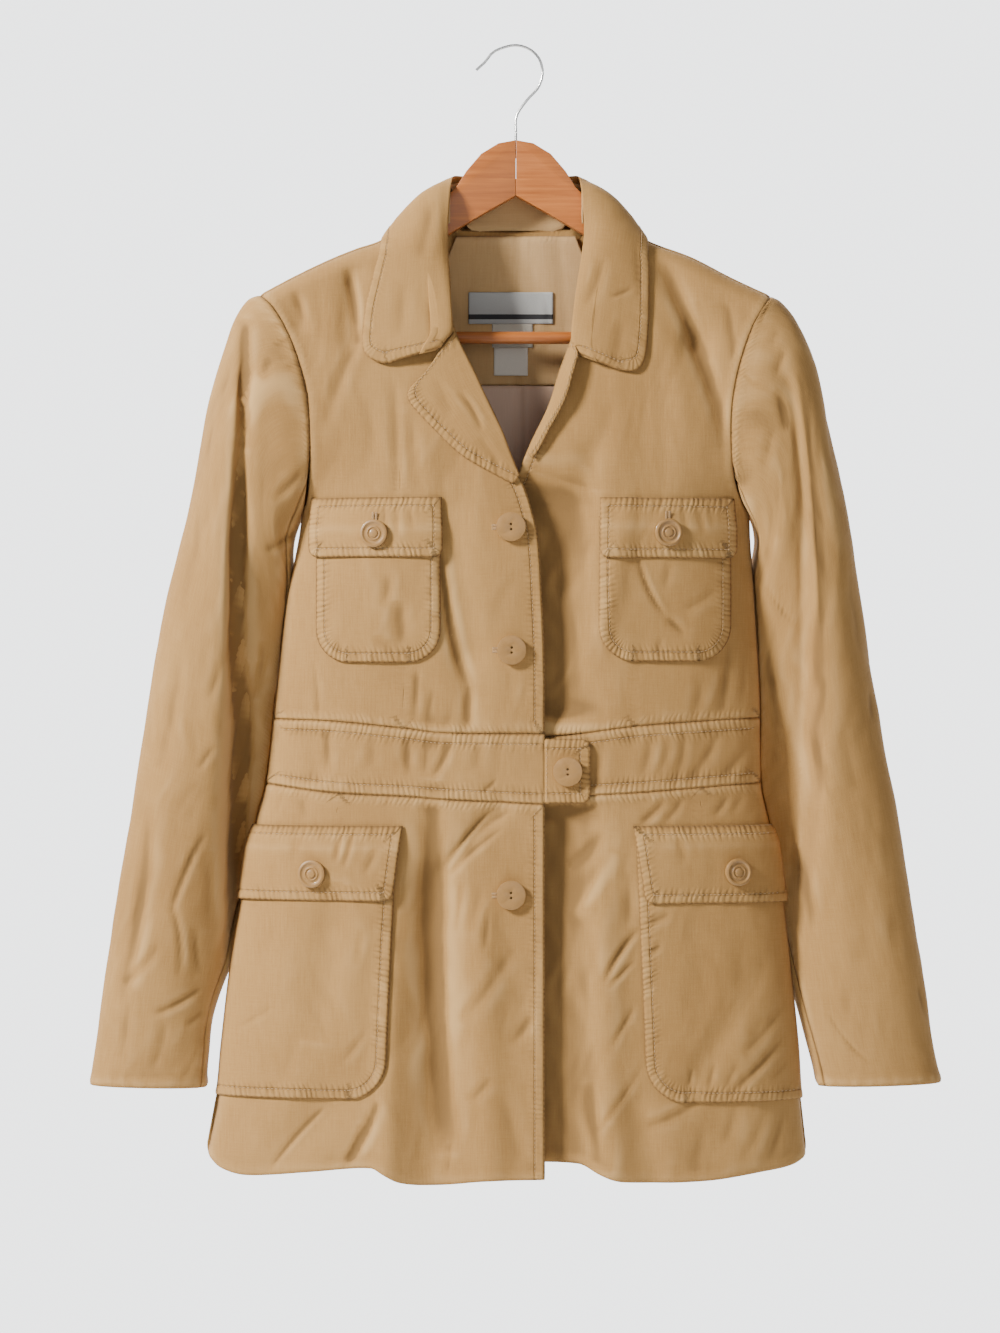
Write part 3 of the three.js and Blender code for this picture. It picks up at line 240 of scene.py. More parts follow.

# %% [markdown]
# ## Cotton twill
# Twill is woven so that fine slanted ribs run over it. Here the ribs are half a millimetre apart and
# follow the cloth's own UV map, which is in metres. Slubs, the thicker stretches of yarn, show as
# faint upright streaks. Washing leaves the ridges of seams paler than the flat cloth, and the troughs
# are painted darker as shade. Each piece carries both in one attribute: paleness from washing on the
# ridges, painted shade in the troughs.

# %% Cotton
RIPPLE_PITCH = 4.4
STITCH_INSET = 7.6

def sewn_pull(recipe):
    """The ripples between a row of stitches and its seam, from each point's place in the sewing, with painted shade in
    their valleys, in the stitch groove and along the seam line.
    """
    split = recipe.node("ShaderNodeSeparateXYZ", {}, {0: recipe.attribute("sewing", 1)}).socket.node
    away, run, stitched = (Value(recipe, socket) for socket in split.outputs)
    pull = recipe.attribute("pull")
    place = recipe.node("ShaderNodeCombineXYZ", {}, {0: run * 0.045, 1: away * 0.03})
    wander = recipe.noise(place, 1.0, 2.0, 0.5)
    uneven = recipe.fade(recipe.noise(place, 1.7, 2.0, 0.6), 0.30, 0.64, 0.3, 1.2)
    turned = (run + wander * 9.0 + away * 0.22) * (math.pi / RIPPLE_PITCH)
    humps = abs(turned.maths("SINE", turned, 0.0)) ** 1.4
    reach = recipe.fade(away, 7.0, 16.0, 1.0, 0.0)
    groove = stitched * recipe.fade(abs(away - STITCH_INSET), 0.25, 1.35, 1.0, 0.0)
    seam_line = recipe.fade(away, 0.2, 1.3, 1.0, 0.0)
    ripples = pull * uneven * reach
    height = ripples * humps * 0.42 - groove * 0.5 - seam_line * 0.35
    # dark is painted shade: the ripple valleys, the stitch groove and the seam line are darkened where shade falls.
    dark = ripples * (1 - humps) * 0.6 + groove * 0.42 + seam_line * 0.4
    return height, dark, ripples * humps


def cotton(name, colour, pale, deep_tone_and_shade, sheen=0.12):
    recipe = Recipe(name, colour, 0.86)
    cloth = recipe.node("ShaderNodeTexCoord", {}, {}, output=2)
    place = recipe.node("ShaderNodeTexCoord", {}, {}, output=3)
    ribs = recipe.node("ShaderNodeTexWave", {"wave_type": "BANDS", "bands_direction": "X"}, {
        "Vector": recipe.placed(cloth, turn=(0, 0, math.radians(32))), "Scale": 620.0,
        "Distortion": 0.8, "Detail": 1.0, "Detail Scale": 1.4,
    }, output=1)
    slubs = recipe.noise(recipe.placed(cloth, scale=(900, 46, 1)), 1.0, 4.0, 0.6)
    cross = recipe.noise(recipe.placed(cloth, scale=(60, 1100, 1)), 1.0, 2.0, 0.6)
    cloudy = recipe.noise(place, 7.0, 5.0, 0.62)
    grain = recipe.noise(cloth, 700.0, 2.0, 0.6)
    wear_and_shade = recipe.attribute("wear_and_shade")
    tone = slubs * 0.30 + cross * 0.16 + cloudy * 0.42 + grain * 0.12
    flat = recipe.blend(recipe.fade(tone, 0.36, 0.64), deep_tone_and_shade, colour)
    height, dark, ridges = sewn_pull(recipe)
    worn = recipe.blend(recipe.fade(wear_and_shade + ridges * 0.06, 0.5, 1.0, 0.0, 0.55), flat, pale)
    # Painted shade: where the attribute drops below its middle, and along ripple valleys, stitch grooves and seam
    # lines, the colour is blended towards half the darker tone.
    low = recipe.fade(wear_and_shade - dark * 0.42, 0.5, 0.0, 0.0, 0.8)
    done = recipe.blend(low, worn, tuple(value * 0.5 for value in deep_tone_and_shade))
    weave = ribs * 0.25 + slubs * 0.5 + cross * 0.3 + grain * 0.5
    recipe.shader.inputs["Sheen Weight"].default_value = sheen
    recipe.shader.inputs["Sheen Roughness"].default_value = 0.5
    recipe.shader.inputs["Specular IOR Level"].default_value = 0.25
    return recipe.finish(done, 0.80 + cloudy * 0.14, weave * 0.16 + height, 1.0, 0.001)


khaki = cotton("khaki_twill", (0.405, 0.228, 0.076), (0.57, 0.36, 0.148), (0.325, 0.172, 0.052), 0.02)
# The facing and the collar stand are the same cotton, painted lighter than the outside so that they look lit inside the
# neck, where the collar shades them.
facing_khaki_painted_lighter = cotton("khaki_twill_inside_painted_lighter", (0.50, 0.315, 0.145), (0.60, 0.40, 0.21), (0.43, 0.26, 0.11), 0.03)
print("cotton:", len(khaki.node_tree.nodes), "nodes")

# %% Lining, label cloth and thread
def lining_cloth():
    recipe = Recipe("rosy_lining", (0.55, 0.37, 0.255), 0.55)
    cloth = recipe.node("ShaderNodeTexCoord", {}, {}, output=2)
    threads = recipe.noise(recipe.placed(cloth, scale=(1400, 60, 1)), 1.0, 2.0, 0.5)
    cloudy = recipe.noise(cloth, 18.0, 3.0, 0.5)
    colour = recipe.blend(threads * 0.5 + cloudy * 0.5, (0.47, 0.30, 0.20), (0.63, 0.44, 0.32))
    recipe.shader.inputs["Sheen Weight"].default_value = 0.2
    return recipe.finish(colour, 0.45 + cloudy * 0.2, threads, 0.2, 0.0003)


def label_cloth(name, colour, dark, band):
    recipe = Recipe(name, colour, 0.7)
    cloth = recipe.node("ShaderNodeTexCoord", {}, {}, output=2)
    weave = recipe.node("ShaderNodeTexBrick", {}, {
        "Vector": cloth, "Color1": (1, 1, 1, 1), "Color2": (0.8, 0.8, 0.8, 1), "Mortar": (0.3, 0.3, 0.3, 1),
        "Scale": 1.0, "Mortar Size": 0.00008, "Brick Width": 0.0009, "Row Height": 0.0005,
    })
    fleck = recipe.noise(cloth, 900.0, 2.0, 0.6)
    ground = recipe.blend(fleck * 0.5 + 0.1, colour, dark, "MIX")
    if band:
        parts = recipe.node("ShaderNodeSeparateXYZ", {}, {0: cloth}, output=1)
        low = recipe.node("ShaderNodeMath", {"operation": "GREATER_THAN"}, {0: parts, 1: band[0]})
        high = recipe.node("ShaderNodeMath", {"operation": "LESS_THAN"}, {0: parts, 1: band[1]})
        ground = recipe.blend(low * high, ground, (0.018, 0.018, 0.02))
    return recipe.finish(ground, 0.6 + fleck * 0.2, recipe.node("ShaderNodeRGBToBW", {}, {0: weave}), 0.3, 0.0003)


def thread_finish(name, colour):
    recipe = Recipe(name, colour, 0.6)
    place = recipe.node("ShaderNodeTexCoord", {}, {}, output=3)
    strands = recipe.noise(place, 1500.0, 2.0, 0.6)
    tone = recipe.blend(strands, tuple(value * 0.8 for value in colour), tuple(value * 1.15 for value in colour))
    recipe.shader.inputs["Sheen Weight"].default_value = 0.2
    return recipe.finish(tone, 0.5 + strands * 0.2, strands, 0.3, 0.0002)

lining = lining_cloth()
main_label_cloth = label_cloth("grey_label", (0.42, 0.42, 0.40), (0.30, 0.30, 0.29), (-0.2175, -0.2135))
size_label_cloth = label_cloth("size_label_cloth", (0.50, 0.46, 0.38), (0.38, 0.35, 0.29), None)
care_label_cloth = label_cloth("care_label_cloth", (0.66, 0.62, 0.54), (0.56, 0.52, 0.45), None)
thread = thread_finish("khaki_thread", (0.42, 0.255, 0.105))
print("lining, labels and thread are mixed")

# %% [markdown]
# ## The form that the solids have
# The jacket's front and back are two shallow curved faces that meet at the side seams and roll over
# the shoulder line. The tables below say where those lines run, in millimetres. They are the same
# as the solids', so that each dressed piece lies exactly on its solid.

# %% Sizes and tables
CLOTH = 1.6
PATCH = 1.2
LABEL = 1.0
SEAM = 0.3
LAID_GAP = 1.0
RIDGE_ROUND = 16.0
SHOULDER_SEAM_FORWARD = 7.0
SHOULDER_GAP = 0.9
LAP = 3.6
LAP_FROM, LAP_TO = 20.0, 74.0
UNDERLAP_X = -30.0
FRONT_EDGE_X = 22.5
BACK_NECK_Z = -148.0
UNDERARM_Z = -374.0
BAND_TOP_Z, BAND_FOOT_Z = -541.0, -593.0
HEM_BACK_Z = -900.0
SEAM_SHARE = 0.037


def table(names, rows):
    columns = np.array(rows, dtype=float).T
    return dict(zip(names.split(), columns))


SIDES = table("z left right", [
    (-100, -290, 290), (-200, -262, 258), (-260, -236, 236), (-311, -208, 216),
    (-350, -181, 196), (-374, -173, 189), (-446, -185, 193), (-526, -194, 197),
    (-595, -202, 198), (-624, -210, 204), (-683, -219, 213), (-736, -228, 219),
    (-804, -236, 226), (-835, -239, 228), (-892, -249, 234),
])
DEPTHS = table("z front back", [
    (-100, 14, 13), (-150, 16, 16), (-200, 22, 21), (-260, 30, 26), (-320, 37, 28),
    (-388, 43, 29), (-460, 42, 28), (-546, 39, 26), (-620, 40, 27), (-720, 43, 29),
    (-820, 46, 31), (-912, 49, 33),
])
RIDGE = table("x z", [
    (-206, -200), (-180, -186), (-151, -172), (-129, -163), (-107, -155), (-77, -133),
    (-55, -115), (0, -113), (55, -115), (78, -134), (102, -154), (142, -170),
    (173, -186), (205, -201),
])
ARMHOLE_LEFT = table("x z", [
    (-206, -200), (-194, -212), (-182, -232), (-173, -255), (-166, -283),
    (-164, -318), (-165, -342), (-167, -360), (-170, -371), (-173, -374),
])
ARMHOLE_RIGHT = table("x z", [
    (205, -201), (192, -222), (185, -238), (177, -264), (172, -294),
    (172, -325), (175, -350), (182, -368), (186, -373), (189, -374),
])
EDGE_LEFT = table("x z", [
    (-56, -119), (-56, -148), (-53, -190), (-50, -229), (-31, -272),
    (-12, -312), (-1, -344), (6, -358), (12, -376), (17, -398),
    (20, -446), (22, -500), (22, -553),
])
EDGE_RIGHT = table("x z", [
    (57, -119), (55, -152), (51, -198), (45, -236), (34, -267),
    (26, -293), (12, -322), (1, -348), (-12, -372), (-24, -400),
    (UNDERLAP_X, -440), (UNDERLAP_X, -500), (UNDERLAP_X, -556),
])
WAIST_LEFT = table("x top bottom", [
    (-202, -541, -593), (-146, -543, -600), (-85, -549, -603),
    (-61, -552, -605), (22, -553, -609),
])
WAIST_RIGHT = table("x top bottom", [
    (UNDERLAP_X, -556, -606), (31, -555, -603), (95, -547, -600),
    (148, -543, -596), (198, -540, -592),
])
HEM_LEFT = table("x z", [
    (-249, -890), (-238, -900), (-216, -905), (-166, -901), (-116, -897),
    (-106, -902), (-91, -909), (-65, -911), (-24, -907), (23, -906),
])
HEM_RIGHT = table("x z", [
    (UNDERLAP_X, -894), (48, -894), (65, -902), (86, -908), (151, -908),
    (198, -902), (222, -898), (234, -892),
])
FOLDS_FRONT = table("fromX fromZ toX toZ width height", [
    (-131, -182, -134, -238, 9, -3), (-176, -196, -172, -226, 7, -2), (-55, -378, -39, -490, 14, -3.5),
    (-39, -490, -36, -545, 12, -2.5), (112, -158, 142, -240, 13, -5), (142, -240, 168, -320, 13, -4),
    (60, -330, 40, -430, 12, -3), (88, -372, 70, -470, 9, 2), (-64, -680, -66, -912, 20, -7),
    (-96, -720, -104, -905, 12, 4), (-26, -700, -20, -905, 14, 3), (-12, -612, -58, -662, 8, -2.5),
    (-150, -850, -200, -900, 16, -3), (66, -690, 74, -905, 15, 4), (96, -850, 108, -908, 12, -3),
    (196, -740, 140, -830, 12, -3),
])
FOLDS_BACK = table("fromX fromZ toX toZ width height", [
    (-122, -215, -100, -330, 18, -4), (118, -215, 96, -340, 18, -4), (-150, -380, -105, -470, 18, -3),
    (150, -390, 104, -500, 18, -3), (-10, -300, -16, -520, 26, -2.5), (-120, -640, -134, -905, 24, -6),
    (-66, -700, -70, -905, 20, 4), (10, -660, 14, -905, 24, -5), (88, -680, 96, -905, 20, 4),
    (150, -650, 162, -905, 22, -6),
])
SLEEVE_LEFT = table("outX outZ inX inZ foldAt valley behind front back", [
    (-206, -200, -174, -374, 0.1, 0, 0, 24, 22), (-216, -206, -176.5, -387, 0.14, 1, 0, 31, 25),
    (-226, -222, -181, -400, 0.18, 3, 2, 35, 27), (-234, -246, -186, -418, 0.28, 5, 4, 37, 28),
    (-249, -298, -192, -442, 0.44, 6, 8, 38, 29), (-264, -371, -196, -478, 0.52, 6, 16, 38, 29),
    (-282, -452, -201, -530, 0.62, 4, 30, 37, 28), (-295, -526, -207, -578, 0.66, 3, 38, 36, 27),
    (-309, -612, -220, -638, 0.75, 3, 38, 34, 26), (-322, -684, -229, -694, 0.84, 2, 24, 32, 25),
    (-333, -762, -242, -758, 0.88, 1, 8, 30, 24), (-338, -800, -245, -798, 0.9, 0, 2, 28, 23),
    (-343, -835, -248, -837, 0.9, 0, 0, 27, 22),
])
SLEEVE_RIGHT = table("outX outZ inX inZ foldAt valley behind front back", [
    (205, -201, 190, -374, 0.1, 0, 0, 24, 22), (214, -206, 192.5, -388, 0.16, 1, 0, 31, 25),
    (227, -222, 195, -403, 0.22, 3, 2, 35, 27), (238, -248, 197.5, -420, 0.3, 5, 4, 37, 28),
    (250, -298, 199, -446, 0.36, 6, 8, 38, 29), (266, -371, 201, -486, 0.46, 6, 16, 38, 29),
    (278, -452, 204, -530, 0.51, 5, 28, 37, 28), (290, -526, 207, -578, 0.56, 4, 38, 36, 27),
    (306, -612, 216, -638, 0.66, 3, 38, 34, 26), (318, -684, 224, -694, 0.8, 2, 24, 32, 25),
    (330, -758, 229, -758, 0.88, 1, 8, 30, 24), (335, -798, 235, -798, 0.9, 0, 2, 28, 23),
    (342, -833, 243, -836, 0.9, 0, 0, 27, 22),
])
NECKLINE = table("x over", [
    (0, -44.2), (22, -43.8), (44, -42.3), (51, -36),
    (54, -15), (55.5, -3), (57, 6.1),
])
COLLAR_LEFT = table("rollX rollY rollZ edgeX over bow", [
    (-61.5, -33, -245.5, -103, 115, 3), (-57, -33, -239, -117, 103, 3), (-52, -32, -230, -122, 92, 3),
    (-53, -29, -206, -120, 64, 3), (-55, -25, -176, -113, 34, 5), (-56, -22, -148, -107, 14, 8),
    (-55, -15, -119, -104, 2, 9), (-53, -2, -107, -99, -14, 9), (-51, 5, -104.5, -94, -24, 10),
    (-47, 12, -103.5, -85, -38, 10), (-34, 18, -104, -58, -64, 6), (-17, 21.5, -104.5, -28, -75, 2),
    (0, 22.5, -105, 0, -77, 2),
])
COLLAR_RIGHT = table("rollX rollY rollZ edgeX over bow", [
    (50, -33, -250, 80, 137, 3), (47, -33, -243, 95, 124, 3), (45, -32, -236, 103, 108, 3),
    (48, -29, -206, 106, 78, 3), (53, -25, -174, 106, 40, 5), (56, -22, -148, 105, 14, 8),
    (55, -15, -119, 102, 2, 9), (53, -2, -107, 98, -14, 9), (51, 5, -104.5, 94, -24, 10),
    (47, 12, -103.5, 85, -38, 10), (34, 18, -104, 58, -64, 6), (17, 21.5, -104.5, 28, -75, 2),
])
STAND = table("topX topY topZ footX footY footZ", [
    (54.6, -15, -137, 54.6, -14, -144), (54.8, -11.5, -124, 54.8, -10.5, -129), (54.4, -7.2, -114.9, 54.6, -7.2, -117.2),
    (54, 0, -111.4, 54.3, 0, -114), (52, 7.2, -110.4, 53, 7.2, -114.6), (45, 12.5, -108.5, 47, 12.5, -130),
    (34, 15.5, -108.5, 36, 14.8, -145.9), (17, 17, -108.5, 18, 15.8, -146.3), (0, 17.4, -108.5, 0, 16, -146.3),
])
LAPEL_LEFT = table("rollX rollZ edgeX edgeZ lift", [
    (-50.5, -233.5, -60, -247, 2.4), (-47, -240, -72, -264, 2.8), (-41, -252, -85, -278, 3.2),
    (-34, -266, -86, -286, 3.4), (-29, -277, -80, -295, 3.6), (-21, -294, -62, -314, 3.8),
    (-12, -313, -44, -331, 3.6), (-6, -329, -24, -343, 3), (2, -349, -2, -354, 2.4),
])
LAPEL_RIGHT = table("rollX rollZ edgeX edgeZ lift", [
    (45.5, -240, 50, -252, 7), (40, -254, 46, -266, 8), (34, -268, 41, -284, 8),
    (28, -287, 34, -299, 7), (20, -306, 27, -311, 6), (13, -321, 19, -326, 4.5),
    (9.5, -329, 13, -334, 3.5),
])
CHEST_POCKETS = [
    ("left", -159, -60, -382, -496, 26, -163, -59, -364.5),
    ("right", 66, 171, -380, -495, 28, 67, 174, -365),
]
HIP_POCKETS = [
    ("left", -95, -104, -636, -843, 30, -90, -98.5, -626, -686),
    ("right", 95, 104, -634, -846, 32, 93, 102.5, -626, -688),
]
LABELS = [
    ("main_label", -38, 30, -196, -221),
    ("size_label", -19, 13.5, -221.5, -240),
    ("care_label", -17.5, 9.5, -240.5, -263),
]
BUTTONS = [
    ("front_button_top", -4, -388.5, "front"), ("front_button_middle", -3.5, -486, "front"),
    ("front_button_low", -4, -681, "front"), ("waist_tab_button", 41.5, -583, "tab"),
    ("chest_button_left", -111, -394, "flap"), ("chest_button_right", 119.5, -393, "flap"),
    ("hip_button_left", -160.5, -664.5, "flap"), ("hip_button_right", 174.5, -663.5, "flap"),
]
HOOK = table("x z", [
    (0, -90), (0, -70), (0.5, -56), (9, -43), (18, -33), (21.5, -22),
    (19, -10), (11, -2), (0, 1.2), (-11, -1), (-19, -5), (-24.5, -12),
    (-32, -19),
])
print("tables: side seams from", SIDES["z"][0], "to", SIDES["z"][-1], "mm")

# %% Reading the tables
def mix(first, second, share):
    return first + (second - first) * share


def smooth(start, end, at):
    share = np.clip((np.asarray(at, dtype=float) - start) / (end - start), 0, 1)
    return share * share * (3 - 2 * share)


def along(rows, key, column, at):
    keys, values = rows[key], rows[column]
    way = 1 if keys[-1] > keys[0] else -1
    last = len(keys) - 1
    at = np.asarray(at, dtype=float)
    first = np.clip(np.searchsorted(keys * way, at * way, side="left") - 1, 0, last - 1)
    before = np.maximum(np.arange(last + 1) - 1, 0)
    after = np.minimum(np.arange(last + 1) + 1, last)
    slopes = (values[after] - values[before]) / (keys[after] - keys[before])
    span = keys[first + 1] - keys[first]
    share = np.clip((at - keys[first]) / span, 0, 1)
    rise = values[first + 1] - values[first]
    bend = (slopes[first] * span - rise) * (1 - share) - (slopes[first + 1] * span - rise) * share
    return values[first] + rise * share + share * (1 - share) * bend


def measured(rows):
    steps = np.hypot(np.diff(rows["x"]), np.diff(rows["z"]))
    run = np.concatenate([[0], np.cumsum(steps)])
    return {**rows, "run": run / run[-1]}


def walk(line, share):
    return along(line, "run", "x", share), along(line, "run", "z", share)


# %% Faces of the body
def fold_height(x, z, rows):
    height = np.zeros(np.broadcast(x, z).shape)
    for x0, z0, x1, z1, width, rise in zip(*rows.values()):
        dx, dz = x1 - x0, z1 - z0
        near = np.clip(((x - x0) * dx + (z - z0) * dz) / (dx * dx + dz * dz), 0, 1)
        away = np.hypot(x - x0 - near * dx, z - z0 - near * dz)
        height = height + rise * np.exp(-((away / width) ** 2))
    return height


def across_share(x, z):
    left, right = along(SIDES, "z", "left", z), along(SIDES, "z", "right", z)
    return (2 * x - left - right) / (right - left)


def calm_near_edges(x, z):
    across = np.minimum(np.abs(across_share(x, z)), 1)
    return (1 - across ** 6) * smooth(2, 30, along(RIDGE, "x", "z", x) - z)


def relief(x, z, side):
    folds = fold_height(x, z, FOLDS_BACK if side == "back" else FOLDS_FRONT) * calm_near_edges(x, z)
    if side == "right":
        folds = folds - LAP * (1 - smooth(LAP_FROM, LAP_TO, x)) * smooth(-240, -330, z)
    return folds


def fullness(x, z):
    sideways = mix(0.12, 1, smooth(-285, UNDERARM_Z, z))
    ridge = np.maximum(1 - (along(RIDGE, "x", "z", x) - z) / RIDGE_ROUND, 0)
    return (1 - sideways * np.abs(across_share(x, z)) ** 2.6) * (1 - ridge * ridge)


def on_body(x, z, side, lift=0.0):
    x, z = np.broadcast_arrays(np.asarray(x, dtype=float), np.asarray(z, dtype=float))
    back = side == "back"
    sign = 1.0 if back else -1.0
    column = "back" if back else "front"

    def field(px, py, pz):
        depth = along(DEPTHS, "z", column, pz)
        return ((py - sign * relief(px, pz, side)) / depth) ** 2 - fullness(px, pz)

    y = sign * (along(DEPTHS, "z", column, z) * np.sqrt(np.maximum(fullness(x, z), 0)) + relief(x, z, side))
    normal = np.stack([
        field(x + 0.5, y, z) - field(x - 0.5, y, z),
        field(x, y + 0.5, z) - field(x, y - 0.5, z),
        field(x, y, z + 0.5) - field(x, y, z - 0.5),
    ], axis=-1)
    normal /= np.linalg.norm(normal, axis=-1, keepdims=True)
    return np.stack([x, y, z], axis=-1) + normal * np.asarray(lift)[..., None], normal


QUARTER = RIDGE_ROUND * math.pi / 2
ROLL_EXTRA = QUARTER - RIDGE_ROUND


def flat_height(x, z):
    top = along(RIDGE, "x", "z", x)
    drop = np.clip(top - z, 0, RIDGE_ROUND)
    rolled = top + ROLL_EXTRA - RIDGE_ROUND * np.arccos(1 - drop / RIDGE_ROUND)
    return np.where(top - z >= RIDGE_ROUND, z, rolled)


def over_height(x, over):
    far = np.abs(over)
    drop = np.where(far > QUARTER, RIDGE_ROUND + far - QUARTER, RIDGE_ROUND * (1 - np.cos(far / RIDGE_ROUND)))
    return along(RIDGE, "x", "z", x) - drop


def over_shoulder(x, over, front, lift=0.0):
    z = over_height(x, over)
    ahead, behind = on_body(x, z, front, lift), on_body(x, z, "back", lift)
    pick = (np.asarray(over) > 0)[..., None]
    return np.where(pick, ahead[0], behind[0]), np.where(pick, ahead[1], behind[1])


middle = on_body(np.array([0.0]), np.array([-450.0]), "left")[0][0]
print("middle of the front lies at", np.round(middle, 1), "mm")

# %% [markdown]
# ## Creases
# Cotton that has been worn and hung keeps long soft troughs where it folds, short drag lines that
# point at the seams, and a fine unevenness all over. Each crease here is a bowed line with a width,
# a depth and a lip, the small ridge that stands along one side of it. The unevenness is a sum of
# slanted waves from a fixed seed, so it is the same on each run.

